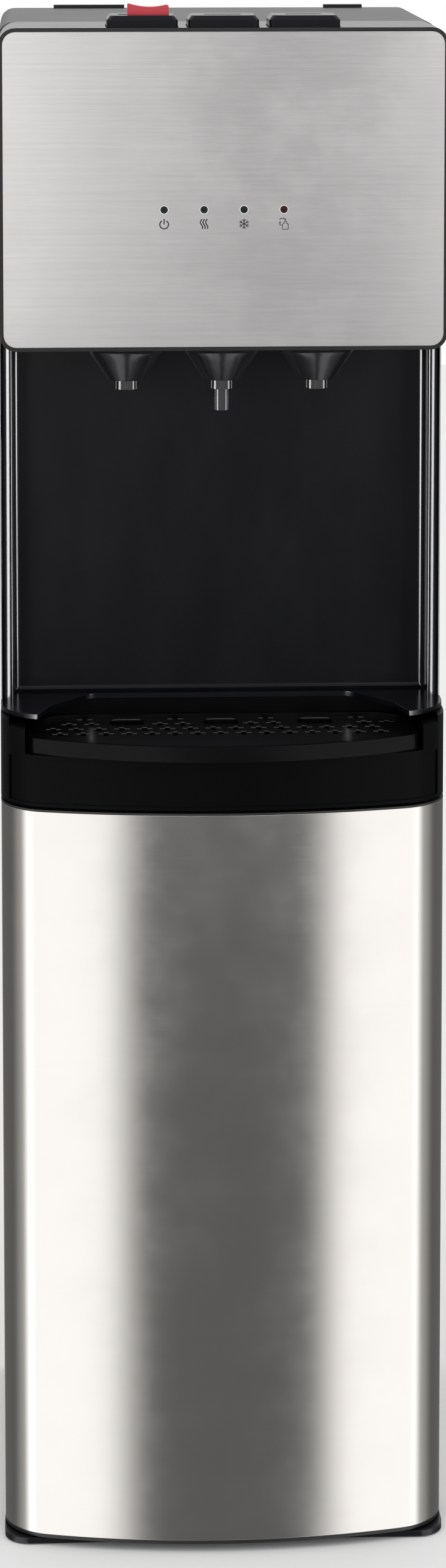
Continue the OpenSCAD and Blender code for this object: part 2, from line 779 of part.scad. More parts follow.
// The cover outline seen from the side, with its rounded rear edge
module cover_side(inset) {
    z0 = side_top_z - (inset > 0 ? 1 : 0);
    polygon(rounded(
        [[cover_y - inset, z0], [back_y - inset, z0], [back_y - inset, body_h - inset],
        [cover_y - inset, body_h - inset]],
        [0, 0, rear_edge_r - inset, 0]
    ));
}

module cover_front(inset) {
    polygon(rounded(
        [[half_w - inset, side_top_z - 2], [half_w - inset, body_h - inset],
        [-half_w + inset, body_h - inset],
         [-half_w + inset, side_top_z - 2]],
        [0, head_r - inset, head_r - inset, 0]
    ));
}

module cover_solid(inset) {
    intersection() {
        upright(cover_y - 2, back_y + 2) cover_front(inset);
        translate([-half_w - 1, 0, 0]) rotate([90, 0, 90]) linear_extrude(body_w + 2) cover_side(inset);
    }
}

switch_open_w = switch_xs[1] - switch_xs[0] + 24;
switch_mid = (switch_xs[0] + switch_xs[1]) / 2;

module rear_top_cover() {
    color("#35363a") difference() {
        cover_solid(0);
        cover_solid(wall);
        translate([switch_mid - switch_open_w / 2, back_y - wall - 1, switch_z - 9])
            cube([switch_open_w, wall + 2, 18]);
    }
}

module rear_top_tabs() {
    color("#0d0d0e") for (t = [[-115, 53], [88, 29]])
        translate([t[0], back_y - rear_edge_r - 6, body_h]) cube([t[1], 8, 2.4]);
}

// Buttons, rods and locks

module button_cap(k) {
    z0 = skirt_z;
    translate([k * button_pitch, button_y, 0]) difference() {
        hull() {
            translate([0, 0, z0]) linear_extrude(button_top - 3 - z0) round_rect(button_w, button_d, 3, 4);
            translate([0, 0, button_top - 1]) linear_extrude(1)
                round_rect(button_w - 5, button_d - 5, 4, 4);
        }
        translate([0, 0, z0 - 1]) linear_extrude(button_top - 3.5 - z0)
            round_rect(button_w - 4, button_d - 4, 1.5, 4);
        children();
    }
}

// The boss that sits on the push rod and its return spring
module button_boss(k) {
    translate([k * tap_pitch, tap_y, boss_z]) cylinder(r = 6, h = button_top - 4 - boss_z, $fn = 32);
}

lock_slot_w = lock_w + lock_travel;
lock_slot_d = 9;
lock_slot_h = 1.6;

module hot_button() {
    color("#17181c") {
        button_cap(-1) translate([lock_offset - lock_travel / 2, 0, button_top - lock_slot_h / 2 + 1])
            cube([lock_slot_w, lock_slot_d, lock_slot_h + 2], center = true);
        button_boss(-1);
    }
}

module groove_cut() {
    translate([0, 0, button_top]) cube([groove_l, groove_w, 1.6], center = true);
}

module room_button() {
    color("#17181c") {
        button_cap(0) groove_cut();
        button_boss(0);
    }
}

module cold_button() {
    color("#17181c") {
        button_cap(1) groove_cut();
        button_boss(1);
    }
}

// The red saddle: low in the middle, flared up at its left end
module child_lock() {
    z0 = button_top - lock_slot_h + 0.1;
    w = lock_w - 0.6;
    color("#c8202c") translate([lock_offset - button_pitch - w / 2, button_y + lock_slot_d / 2 - 0.3, z0])
        rotate([90, 0, 0]) linear_extrude(lock_slot_d - 0.6) polygon(concat(
            [[0.5, 0], [w - 0.5, 0], [w, 0.5]],
            arc(w - 1.5, 6.6, 1.5, 0, 100, 5),
            [for (i = [1:9]) let (t = i / 10) [w - 1.8 - t * (w - 4.6), 8.1 - 6.4 * t * (1 - t) + 0.4 * t]],
            [[2.6, 8.5], [0.8, 9], [0, 8.6], [0, 0.5]]
        ));
}

module push_rod(k) {
    color("#d8d8d4") translate([k * tap_pitch, tap_y, 0]) {
        translate([0, 0, seal_z - 0.01]) cylinder(r = rod_r, h = boss_z - seal_z + 0.01, $fn = 48);
        translate([0, 0, seal_z - 3]) cylinder(r = 8, h = 3, $fn = 48);
    }
}

module hot_rod() {
    push_rod(-1);
}

module room_rod() {
    push_rod(0);
}

module cold_rod() {
    push_rod(1);
}

// A return spring, drawn as the sleeve that its turns fill
module return_spring(k) {
    color("#b5b7b9") translate([k * tap_pitch, tap_y, 0])
        pipe(5.1, 3.8, guide_z + guide_t, boss_z - fit_gap);
}

module hot_spring() {
    return_spring(-1);
}

module room_spring() {
    return_spring(0);
}

module cold_spring() {
    return_spring(1);
}

// Taps

module tap_shrouds() {
    wide = 29;
    color("#1d1e22") at_taps() rotate_extrude($fn = 64) polygon([
        [nozzle_r + 0.25, head_z - 24.5], [12.9, head_z - 24.5], [25.3, head_z - 6], [26.8, head_z - 3],
        [wide, head_z - 1.6],
        [wide, head_z], [23.2, head_z], [23.2, head_z - 5], [11.4, head_z - 22.4],
        [nozzle_r + 0.25, head_z - 22.4]
    ]);
}

module tap_nozzles() {
    color("#232429") at_taps() {
        pipe(nozzle_r, nozzle_bore_r, head_z - nozzle_drop, valve_z);
        pipe(valve_r - 2, nozzle_bore_r, valve_z - 2, valve_z);
    }
}

module centre_spout() {
    color("#2b2c31") translate([0, tap_y, 0]) difference() {
        union() {
            translate([0, 0, head_z - spout_drop])
                cylinder(r = nozzle_bore_r - 0.25, h = spout_drop - head_z + valve_z + 0.5, $fn = 48);
            translate([0, 0, valve_z]) cylinder(r = 8, h = 1.5, $fn = 48);
        }
        translate([0, 0, head_z - spout_drop - 1]) cylinder(r = nozzle_bore_r - 1.6, h = 80, $fn = 48);
    }
}

// A valve body: a chamber either side of the seat, a rod guide on top and a water port at the back
module tap_valves() {
    chamber_r = valve_r - 5;
    top_z = valve_z + valve_h;
    color("#e2e2dc") at_taps() difference() {
        union() {
            translate([0, 0, valve_z]) cylinder(r = valve_r, h = valve_h, $fn = 64);
            translate([0, 0, head_z + wall]) cylinder(r = valve_r + 5, h = 2.5, $fn = 64);
            translate([0, 0, port_z]) rotate([-90, 0, 0]) cylinder(r = hose_r, h = valve_port, $fn = 32);
        }
        translate([0, 0, valve_z - 1]) cylinder(r = chamber_r, h = seat_z - valve_z + 1, $fn = 64);
        translate([0, 0, seat_z - 1]) cylinder(r = rod_r + 2.5, h = 10, $fn = 48);
        translate([0, 0, seat_z + 3]) cylinder(r = chamber_r, h = top_z - 6 - seat_z - 3, $fn = 64);
        translate([0, 0, port_z]) rotate([-90, 0, 0])
            cylinder(r = hose_r - 2, h = valve_port + 1, $fn = 32);
        translate([0, 0, top_z - 7]) cylinder(r = rod_r + run_gap, h = 8, $fn = 48);
    }
}

valve_port = 28;

// Tanks and water

cold_ports = [cold_x - 30, cold_x + 20];
hot_ports = [hot_x + 22, hot_x - 18];
drain_xs = [hot_ports[1], cold_ports[1]];
port_low_z = tank_shelf_z - 6;
room_spout_x = cold_x - 30;
room_spout_z = port_z + 80;

// A tank with rounded rims, drained and filled through its ports
module tank_shell(r, h, t) {
    rotate_extrude($fn = 96) polygon(concat(
        [[0, 0]],
        arc(r - 8, 8, 8, -90, 0, 5),
        arc(r - 8, h - 8, 8, 0, 90, 5),
        [[0, h], [0, h - t]],
        arc(r - 8, h - 8, 8 - t, 90, 0, 5),
        arc(r - 8, 8, 8 - t, 0, -90, 5),
        [[0, t]]
    ));
}

module spout(len) {
    rotate([90, 0, 0]) cylinder(r = hose_r, h = len, $fn = 32);
}

module cold_tank() {
    color("#b9bcbf") difference() {
        union() {
            translate([cold_x, cold_y, tank_z]) tank_shell(cold_r, cold_h, 1);
            translate([cold_x, cold_y - cold_r + 0.5, port_z]) spout(cold_foam_r - cold_r + 8);
            translate([room_spout_x, cold_y - cold_r + 10, room_spout_z]) spout(cold_foam_r - cold_r + 16);
            for (x = cold_ports) translate([x, cold_y, port_low_z])
                cylinder(r = hose_r, h = tank_z - port_low_z + 0.5, $fn = 32);
            translate([cold_x, cold_y, tank_z + cold_h - 0.5]) cylinder(r = hose_r, h = 28, $fn = 32);
        }
        translate([cold_x, cold_y, tank_z + cold_h - 4]) cylinder(r = hose_r - 2, h = 40, $fn = 32);
        for (x = cold_ports) translate([x, cold_y, port_low_z - 1])
            cylinder(r = hose_r - 2, h = 24, $fn = 32);
        translate([cold_x, cold_y - cold_r + 4, port_z]) rotate([90, 0, 0])
            cylinder(r = hose_r - 2, h = 60, $fn = 32);
        translate([room_spout_x, cold_y - cold_r + 12, room_spout_z]) rotate([90, 0, 0])
            cylinder(r = hose_r - 2, h = 60, $fn = 32);
    }
}

drier_x = cold_x - 8;
drier_y = cold_y + cold_foam_r + 12;
drier_z = port_z + 76;
drier_h = 50;

module evaporator() {
    r = (cold_r + tube_r + 0.5) / cos(7.5);
    z0 = tank_z + 15;
    pitch = 14;
    turns = [
        for (i = [0:coil_turns * 24]) let (a = 90 + 15 * i)
        [cold_x + r * cos(a), cold_y + r * sin(a), z0 + pitch * i / 24]
    ];
    back = cold_y + cold_foam_r + 10;
    z1 = z0 + pitch * coil_turns;
    color("#b4713f") {
        tube(concat(
            curve([[comp_x + 30, comp_y + 20, comp_z + comp_h + 10],
            [comp_x + 32, comp_y + 24, comp_z + comp_h + 17],
                   [comp_x + 46, comp_y + 50, comp_z + comp_h + 22],
                   [cold_x - 30, back, comp_z + comp_h + 24],
                   [cold_x + 10, back, z0 - 34], [cold_x + 12, back, z0 - 12]], 5),
            [[cold_x + 9, back - 6, z0 - 1], [cold_x + 5, cold_y + r + 8, z0 - 0.2]],
            turns,
            [[cold_x - 6, cold_y + r + 6, z1 + 0.3], [cold_x - 8, back - 6, z1 + 2]],
            curve([[cold_x - 8, back, z1 + 8], [cold_x - 8, back, z1 + 20], [drier_x, drier_y, drier_z]], 3)
        ), tube_r, 6);
        // Filter drier
        translate([drier_x, drier_y, drier_z - 0.5]) cylinder(r = 8, h = drier_h, $fn = 32);
    }
}

module cold_tank_foam() {
    h = cold_h + 28;
    color("#e9e4cf") translate([cold_x, cold_y, 0]) difference() {
        translate([0, 0, foam_z]) cylinder(r = cold_foam_r, h = h, $fn = 96);
        translate([0, 0, tank_z - 0.3]) cylinder(r = cold_r + foam_gap, h = cold_h + 0.6, $fn = 96);
        for (x = cold_ports) translate([x - cold_x, 0, foam_z - 1])
            cylinder(r = hose_r + 1, h = 30, $fn = 32);
        translate([0, 0, foam_z + 40]) cylinder(r = hose_r + 0.5, h = h, $fn = 32);
        translate([0, 0, port_z]) rotate([90, 0, 0])
            cylinder(r = hose_r + 0.5, h = cold_foam_r + 5, $fn = 32);
        translate([room_spout_x - cold_x, 0, room_spout_z]) rotate([90, 0, 0])
            cylinder(r = hose_r + 0.5, h = cold_foam_r + 5, $fn = 32);
        translate([-14, cold_r, tank_z + 8]) cube([32, 40, 14 * coil_turns + 26]);
    }
}

module hot_tank() {
    color("#c2c4c6") difference() {
        union() {
            translate([hot_x, hot_y, tank_z]) tank_shell(hot_r, hot_h, 1);
            translate([hot_x, hot_y - hot_r + 0.5, port_z]) spout(hot_jacket_r - hot_r + 8);
            for (x = hot_ports) translate([x, hot_y, port_low_z])
                cylinder(r = hose_r, h = tank_z - port_low_z + 0.5, $fn = 32);
        }
        for (x = hot_ports) translate([x, hot_y, port_low_z - 1])
            cylinder(r = hose_r - 2, h = 24, $fn = 32);
        translate([hot_x, hot_y - hot_r + 4, port_z]) rotate([90, 0, 0])
            cylinder(r = hose_r - 2, h = 60, $fn = 32);
    }
}

// The heater band clamps the tank, with two thermostats on the tank top
module hot_tank_heater() {
    color("#c9a24a") {
        translate([hot_x, hot_y, 0]) pipe(hot_r + 4, hot_r + fit_gap, tank_z + 15, port_z - 12);
        for (side = [-1, 1]) translate([hot_x + side * 18, hot_y, tank_z + hot_h + 0.1])
            cylinder(r = 8, h = 7, $fn = 32);
    }
}

module hot_tank_jacket() {
    h = hot_h + 28;
    color("#3a3b3d") translate([hot_x, hot_y, 0]) difference() {
        translate([0, 0, foam_z]) cylinder(r = hot_jacket_r, h = h, $fn = 96);
        translate([0, 0, tank_z - 0.3]) cylinder(r = hot_r + foam_gap, h = hot_h + 8, $fn = 96);
        for (x = hot_ports) translate([x - hot_x, 0, foam_z - 1])
            cylinder(r = hose_r + 1, h = 30, $fn = 32);
        translate([0, 0, port_z]) rotate([90, 0, 0])
            cylinder(r = hose_r + 0.5, h = hot_jacket_r + 5, $fn = 32);
    }
}

pump_x = half_w - 59;
pump_y = 40;
pump_z = comp_shelf_z + shelf_sheet_t;

module water_pump() {
    color("#4b4d52") {
        translate([pump_x - 22, pump_y - 24, pump_z]) cube([44, 48, 6]);
        translate([pump_x - 18, pump_y - 20, pump_z + 6]) cube([36, 40, 30]);
        translate([pump_x, pump_y, pump_z + 36]) cylinder(r = 17, h = 34, $fn = 48);
        translate([pump_x + 18, pump_y + 10, pump_z + 20]) rotate([0, 90, 0])
            cylinder(r = hose_r, h = 12, $fn = 32);
        translate([pump_x + 8, pump_y + 20, pump_z + 26]) rotate([-90, 0, 0])
            cylinder(r = hose_r, h = 12, $fn = 32);
    }
}

// Hoses end square to their ports, a hair away from them
module hose(points, n = 3) {
    tube(curve(points, n), hose_r);
}

module water_hoses() {
    port_y = tap_y + valve_port + fit_gap;
    low = port_low_z - fit_gap;
    hot_spout_y = hot_y - hot_jacket_r - 7.5 - fit_gap;
    cold_spout_y = cold_y - cold_foam_r - 7.5 - fit_gap;
    room_y = cold_y - cold_foam_r - 6 - fit_gap;
    top_z = tank_z + cold_h + 27.5 + fit_gap;
    side_x = inner_x - hose_r - 1.5;
    drain_y = service_y - 20;
    back = service_y - 8.5 - fit_gap;
    pump_in = [pump_x + 30 + fit_gap, pump_y + 10, pump_z + 20];
    pump_out = [pump_x + 8, pump_y + 32 + fit_gap, pump_z + 26];
    color("#e6e7e8") {
        // Tanks to taps
        hose([
            [-tap_pitch, port_y, port_z], [-tap_pitch, port_y + 5, port_z],
            [-tap_pitch, port_y + 10, port_z],
            [hot_x, hot_spout_y - 12, port_z], [hot_x, hot_spout_y - 6, port_z],
            [hot_x, hot_spout_y, port_z]
        ]);
        hose([
            [tap_pitch, port_y, port_z], [tap_pitch, port_y + 5, port_z], [tap_pitch, port_y + 10, port_z],
            [cold_x, cold_spout_y - 12, port_z], [cold_x, cold_spout_y - 6, port_z],
            [cold_x, cold_spout_y, port_z]
        ]);
        hose([
            [0, port_y, port_z], [0, port_y + 5, port_z], [0, port_y + 10, port_z],
            [5, port_y + 20, port_z + 14],
            [room_spout_x / 2, port_y + 24, port_z + 44],
            [room_spout_x - 4, room_y - 20, room_spout_z - 10],
            [room_spout_x, room_y - 13, room_spout_z], [room_spout_x, room_y - 6, room_spout_z],
            [room_spout_x, room_y, room_spout_z]
        ]);
        // Cold tank to hot tank
        hose([
            [cold_ports[0], cold_y, low], [cold_ports[0], cold_y, low - 5],
            [cold_ports[0], cold_y, low - 9],
            [cold_ports[0] - 4, cold_y, low - 15], [cold_ports[0] - 16, cold_y, low - 17],
            [hot_ports[0] + 16, hot_y, low - 17], [hot_ports[0] + 4, hot_y, low - 15],
            [hot_ports[0], hot_y, low - 9], [hot_ports[0], hot_y, low - 5], [hot_ports[0], hot_y, low]
        ]);
        // Drains
        for (d = [[hot_ports[1], drain_xs[0]], [cold_ports[1], drain_xs[1]]]) hose([
            [d[0], cold_y, low], [d[0], cold_y, low - 5], [d[0], cold_y, low - 9],
            [d[0], cold_y + 12, low - 19],
            [d[0], drain_y - 20, low - 20], [d[1], drain_y - 3, low - 28], [d[1], drain_y, low - 48],
            [d[1], drain_y, drain_z + 24], [d[1], drain_y + 0.5, drain_z + 10],
            [d[1], drain_y + 4, drain_z + 2],
            [d[1], drain_y + 8, drain_z], [d[1], back - 1.6, drain_z], [d[1], back, drain_z]
        ]);
        // Bay to pump, and pump to cold tank
        hose([
            [port_xy[0], port_xy[1], comp_shelf_z - 2], [port_xy[0], port_xy[1], comp_shelf_z + 4],
            [port_xy[0], port_xy[1], comp_shelf_z + 9], [port_xy[0], port_xy[1] - 8, pump_in[2] - 3],
            [port_xy[0] - 1, port_xy[1] - 18, pump_in[2]], [pump_in[0] + 8, pump_in[1] + 2, pump_in[2]],
            [pump_in[0] + 4, pump_in[1], pump_in[2]], [pump_in[0] + 2, pump_in[1], pump_in[2]], pump_in
        ], 2);
        hose([
            pump_out, pump_out + [0, 4, 0], pump_out + [0, 8, 0], pump_out + [5, 20, 4],
            [side_x - 8, drain_y - 22, pump_out[2] + 60], [side_x, service_y - 18, tank_shelf_z - 40],
            [side_x, service_y - 14, tank_shelf_z + 20], [side_x, service_y - 14, top_z - 50],
            [side_x - 1, service_y - 17, top_z - 16], [side_x - 16, cold_y + 48, top_z + 10],
            [cold_x + 18, cold_y + 12, top_z + 17], [cold_x + 4, cold_y + 2, top_z + 15],
            [cold_x, cold_y, top_z + 9], [cold_x, cold_y, top_z + 5], [cold_x, cold_y, top_z]
        ]);
    }
}

module drain_outlets() {
    color("#d9d9d6") for (x = drain_xs) translate([x, service_y, drain_z]) rotate([-90, 0, 0]) difference() {
        union() {
            translate([0, 0, -8.5]) cylinder(r = drain_r, h = 20, $fn = 48);
            translate([0, 0, -3.3]) cylinder(r = drain_r + 4, h = 3, $fn = 48);
        }
        translate([0, 0, -6]) cylinder(r = drain_r - 3, h = 20, $fn = 48);
    }
}

module drain_cap(x) {
    translate([x, service_y, drain_z]) rotate([-90, 0, 0]) difference() {
        translate([0, 0, sheet_t + 0.4]) cylinder(r = drain_r + 3.5, h = 14, $fn = 48);
        translate([0, 0, sheet_t]) cylinder(r = drain_r + 0.3, h = 11.4, $fn = 48);
    }
}

module hot_drain_cap() {
    color("#b3262a") drain_cap(drain_xs[0]);
}

module cold_drain_cap() {
    color("#2c5fa8") drain_cap(drain_xs[1]);
}

// Cooling

module compressor() {
    color("#1a1b1c") {
        translate([comp_x, comp_y, comp_z]) {
            rotate_extrude($fn = 96) polygon(concat(
                [[0, 0]],
                arc(comp_r - 26, 24, 24, -90, 0, 6),
                [[comp_r - 2, comp_h * 0.48], [comp_r, comp_h * 0.48], [comp_r, comp_h * 0.52],
                [comp_r - 2, comp_h * 0.52]],
                arc(comp_r - 32, comp_h - 30, 30, 0, 90, 6),
                [[0, comp_h]]
            ));
            translate([-20, -comp_r - 14, comp_h / 3]) cube([40, 22, 42]);
            translate([30, 20, comp_h - 1]) cylinder(r = 4, h = 11, $fn = 32);
        }
        translate([comp_x, comp_y, comp_plate_z]) difference() {
            translate([-comp_plate_w / 2, -comp_plate_d / 2, 0]) cube([comp_plate_w, comp_plate_d, 2.5]);
            for (x = [-foot_dx, foot_dx], y = [-foot_dy, foot_dy])
                translate([x, y, -1]) cylinder(r = bolt_r + fit_gap, h = 5, $fn = 32);
        }
    }
}

module at_comp_feet() {
    for (x = [-foot_dx, foot_dx], y = [-foot_dy, foot_dy])
        translate([comp_x + x, comp_y + y, comp_shelf_z + shelf_sheet_t]) children();
}

module compressor_feet() {
    color("#222222") at_comp_feet() difference() {
        cylinder(r = 9, h = mount_h, $fn = 32);
        translate([0, 0, -1]) cylinder(r = bolt_r + fit_gap, h = mount_h + 2, $fn = 32);
    }
}

// One unbroken tube: from the compressor, up the rear in level runs, and on to the drier
module condenser() {
    top = condenser_z + (condenser_runs - 1) * condenser_pitch;
    last = condenser_runs % 2 == 0 ? 1 : -1;
    joint_x = condenser_x - 6;
    // The discharge tube, the flat serpentine and the liquid tube, brazed end to end
    discharge = concat(
        curve([
            [comp_x + comp_r - 1.5, comp_y + 10, comp_z + 58],
            [comp_x + comp_r + 12, comp_y + 14, comp_z + 59],
            [cold_x + 20, cold_y + 60, comp_z + 60], [condenser_x - 4, service_y - 10, condenser_z + 8],
            [condenser_x + 9, service_y + 7, condenser_z + 3], [condenser_x + 5, condenser_y, condenser_z]
        ], 5),
        [[joint_x + fit_gap, condenser_y, condenser_z]]
    );
    serpentine = concat(
        [[joint_x, condenser_y, condenser_z]],
        [for (i = [0:condenser_runs - 2])
            let (s = i % 2 == 0 ? -1 : 1, z = condenser_z + (i + 0.5) * condenser_pitch)
         for (a = [-90:30:90]) [s * (condenser_x + bend_r * cos(a)), condenser_y, z + bend_r * sin(a)]],
        [[last * joint_x, condenser_y, top]]
    );
    liquid = concat(
        [[last * (joint_x + fit_gap), condenser_y, top]],
        curve([
            [last * condenser_x, condenser_y, top], [last * (condenser_x + 8), condenser_y - 2, top + 3],
            [last * (condenser_x + 6), drier_y + 8, drier_z + drier_h + 14],
            [drier_x + 20, drier_y + 2, drier_z + drier_h + 14],
            [drier_x + 2, drier_y, drier_z + drier_h + 10], [drier_x, drier_y, drier_z + drier_h - 0.4]
        ], 5)
    );
    color("#121314") {
        for (line = [discharge, serpentine, liquid]) tube(line, tube_r, 8);
        for (i = [0:wire_count - 1], s = [-1, 1])
            translate([
                -condenser_x + 4 + i * (2 * condenser_x - 8) / (wire_count - 1),
                condenser_y + s * (tube_r + 0.85), condenser_z - 8
            ]) cylinder(r = 0.7, h = top - condenser_z + 16, $fn = 6);
    }
}

module control_box() {
    x0 = -inner_x;
    color("#c9cac6") {
        translate([x0, 20, side_top_z - 45]) difference() {
            cube([94, 100, 34]);
            translate([2, 2, 2]) cube([90, 96, 40]);
        }
        translate([x0, 20, side_top_z - 11 + 0.1]) cube([94, 100, 2]);
    }
}

// Rear switches

module rocker_outline() {
    polygon([[-9.2, 4.2], [-9.2, 0.5], [-6, -1.6], [6, -1.6], [9.2, 0.5], [9.2, 4.2], [0, 2.6]]);
}

rocker_tilt = 7;
rocker_h = 12;

module rocker(x) {
    translate([x, rocker_y, switch_z]) {
        rotate([0, 0, -rocker_tilt]) translate([0, 0, -rocker_h / 2]) linear_extrude(rocker_h)
            rocker_outline();
        translate([0, 0, -rocker_h / 2 - 1.5]) cylinder(r = 1.2, h = rocker_h + 3, $fn = 24);
    }
}

module heat_rocker() {
    color("#b3262a") rocker(switch_xs[0]);
}

module cool_rocker() {
    color("#2f7d46") rocker(switch_xs[1]);
}

module switch_housing() {
    plate_y1 = back_y - wall - 0.1;
    color("#141415") difference() {
        union() {
            translate([switch_mid - switch_open_w / 2 - 4, plate_y1 - 2, switch_z - 12])
                cube([switch_open_w + 8, 2, 24]);
            for (x = switch_xs) translate([x - 12.5, rocker_y - 16, switch_z - 9.5])
                cube([25, plate_y1 - rocker_y + 16, 19]);
        }
        for (x = switch_xs) {
            translate([x - 10.6, rocker_y - 4, switch_z - rocker_h / 2 - 0.4])
                cube([21.2, 12, rocker_h + 0.8]);
            translate([x, rocker_y, switch_z - rocker_h / 2 - 2])
                cylinder(r = 1.25, h = rocker_h + 4, $fn = 24);
        }
    }
}

module cord_gland() {
    color("#161616") translate([gland_x, service_y, drain_z]) rotate([-90, 0, 0]) difference() {
        union() {
            translate([0, 0, -10]) cylinder(r = 9, h = 20, $fn = 48);
            translate([0, 0, sheet_t + 0.1]) cylinder(r = 13, h = 3, $fn = 48);
            translate([0, 0, -5.1]) cylinder(r = 12, h = 5, $fn = 6);
        }
        translate([0, 0, -11]) cylinder(r = gland_bore_r, h = 22, $fn = 48);
    }
}

// Door

module door_skin() {
    color("#b7b5b0") translate([0, 0, skin_z0]) linear_extrude(skin_z1 - skin_z0) difference() {
        front_plan(0, hinge_y);
        front_plan(skin_t, hinge_y + 1);
    }
}

module liner_plan() {
    door_plan(skin_t + 0.1);
    intersection() {
        door_plan(0);
        translate([-half_w, hinge_y + 0.2]) square([body_w, hinge_r]);
    }
}

module at_hinge() {
    translate([hinge_x, hinge_y, 0]) children();
}

module door_liner() {
    edge = 5;
    color("#1a1b1d") difference() {
        translate([0, 0, skin_z0]) linear_extrude(skin_z1 - skin_z0) liner_plan();
        translate([0, 0, skin_z0 + edge]) linear_extrude(skin_z1 - skin_z0 - 2 * edge) intersection() {
            front_plan(skin_t + 0.1 + wall, door_back_y + 1);
            translate([-liner_side, front_y]) square([2 * liner_side, body_d]);
        }
        at_hinge() translate([0, 0, skin_z0 - 1])
            cylinder(r = hinge_pin_r + run_gap, h = hinge_pin_len + 2, $fn = 48);
        at_hinge() translate([0, 0, skin_z1 - hinge_pin_len - 1])
            cylinder(r = hinge_pin_r + run_gap, h = hinge_pin_len + 2, $fn = 48);
    }
}

module door_end_caps() {
    color("#101112") for (c = [[cap_z0, bottom_cap_t], [skin_z1, top_cap_t]]) difference() {
        translate([0, 0, c[0]]) linear_extrude(c[1]) door_plan(0);
        at_hinge() translate([0, 0, c[0] - 1]) cylinder(r = hinge_pin_r + run_gap, h = c[1] + 2, $fn = 48);
    }
}

// A magnetic catch on the free side, just clear of the closed door
module door_catch() {
    color("#2a2b2d") translate([-inner_x, cab_y - door_gap + fit_gap, door_top_z - 34]) {
        cube([12, 14, 20]);
    }
}

// Suction lance

module lance_clip() {
    color("#cfd0cc") translate([0, 0, collar_z - 4.3]) difference() {
        translate([lance_x - 16, lance_y - 16, 0]) cube([inner_x - lance_x + 16, 32, 4]);
        translate([lance_x, lance_y, -1]) cylinder(r = lance_r + 0.6, h = 6, $fn = 32);
        translate([lance_x - lance_r - 0.6, lance_y - 20, -1]) cube([2 * lance_r + 1.2, 20, 6]);
    }
}

lance_top_z = collar_z + 36;

module suction_lance() {
    color("#e3e3df") translate([lance_x, lance_y, 0]) difference() {
        union() {
            translate([0, 0, bay_floor_z + 30])
                cylinder(r = lance_r, h = lance_top_z - bay_floor_z - 30, $fn = 32);
            translate([0, 0, collar_z]) cylinder(r = collar_r, h = collar_h - 6, $fn = 64);
            translate([0, 0, collar_z + collar_h - 6]) cylinder(r1 = collar_r, r2 = 12, h = 6, $fn = 64);
        }
        translate([0, 0, bay_floor_z + 29])
            cylinder(r = lance_r - 1.5, h = lance_top_z - bay_floor_z, $fn = 32);
    }
}

// The free hose, about 0.8 m long, hangs in a loop beside the bottle
bay_top = comp_shelf_z;
lance_hose_path = curve([
    [lance_x, lance_y, lance_top_z + 0.3], [lance_x, lance_y, lance_top_z + 6],
    [lance_x, lance_y, lance_top_z + 12],
    [lance_x + 4, lance_y + 8, lance_top_z + 30], [lance_x + 9, lance_y + 27, lance_top_z + 39],
    [lance_x + 14, lance_y + 46, lance_top_z + 30], [lance_x + 15, lance_y + 54, lance_top_z + 10],
    [lance_x + 16, lance_y + 56, bay_top - 120], [lance_x + 16, lance_y + 56, bay_top - 290],
    [lance_x + 16, lance_y + 60, bay_top - 336], [lance_x + 14, lance_y + 78, bay_top - 366],
    [lance_x + 13, lance_y + 104, bay_top - 366], [port_xy[0], port_xy[1] - 3, bay_top - 336],
    [port_xy[0], port_xy[1], bay_top - 290], [port_xy[0], port_xy[1], bay_top - 130],
    [port_xy[0], port_xy[1], bay_top - 2 - fit_gap]
], 4);

module lance_hose() {
    color("#e9e9e9") tube(lance_hose_path, free_hose_r, 8);
}

module at_service_screws() {
    for (x = [-1, 1], z = [service_top - 44, service_top - 10]) translate([x * (inner_x - 9), service_y, z])
        rotate([-90, 0, 0]) children();
}

module screws() {
    color("#8f9194") {
        at_service_screws() {
            translate([0, 0, -5]) cylinder(r = screw_r, h = 5 + sheet_t, $fn = 24);
            translate([0, 0, sheet_t]) cylinder(r = 2 * screw_r, h = 1.4, $fn = 24);
        }
        at_comp_feet() {
            cylinder(r = bolt_r, h = mount_h + 2.5, $fn = 32);
            translate([0, 0, mount_h + 2.5]) cylinder(r = 2 * bolt_r, h = 4, $fn = 6);
        }
    }
}

base_plinth();
foot_pads();
left_side_panel();
right_side_panel();
back_panel();
service_panel();
compressor_shelf();
tank_shelf();
niche_panel();
tray_bezel();
head_housing();
head_plate();
indicator_lamps();
indicator_board();
rear_top_cover();
rear_top_tabs();
tap_shrouds();
tap_nozzles();
centre_spout();
tap_valves();
compressor();
compressor_feet();
condenser();
cold_tank();
evaporator();
cold_tank_foam();
hot_tank();
hot_tank_heater();
hot_tank_jacket();
water_pump();
water_hoses();
drain_outlets();
control_box();
switch_housing();
cord_gland();
door_hinges();
door_catch();
lance_clip();
screws();
door_skin();
door_liner();
door_end_caps();
hot_button();
room_button();
cold_button();
hot_rod();
room_rod();
cold_rod();
hot_spring();
room_spring();
cold_spring();
child_lock();
drip_tray();
drip_grille();
heat_rocker();
cool_rocker();
hot_drain_cap();
cold_drain_cap();
suction_lance();
lance_hose();
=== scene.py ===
import json
import math

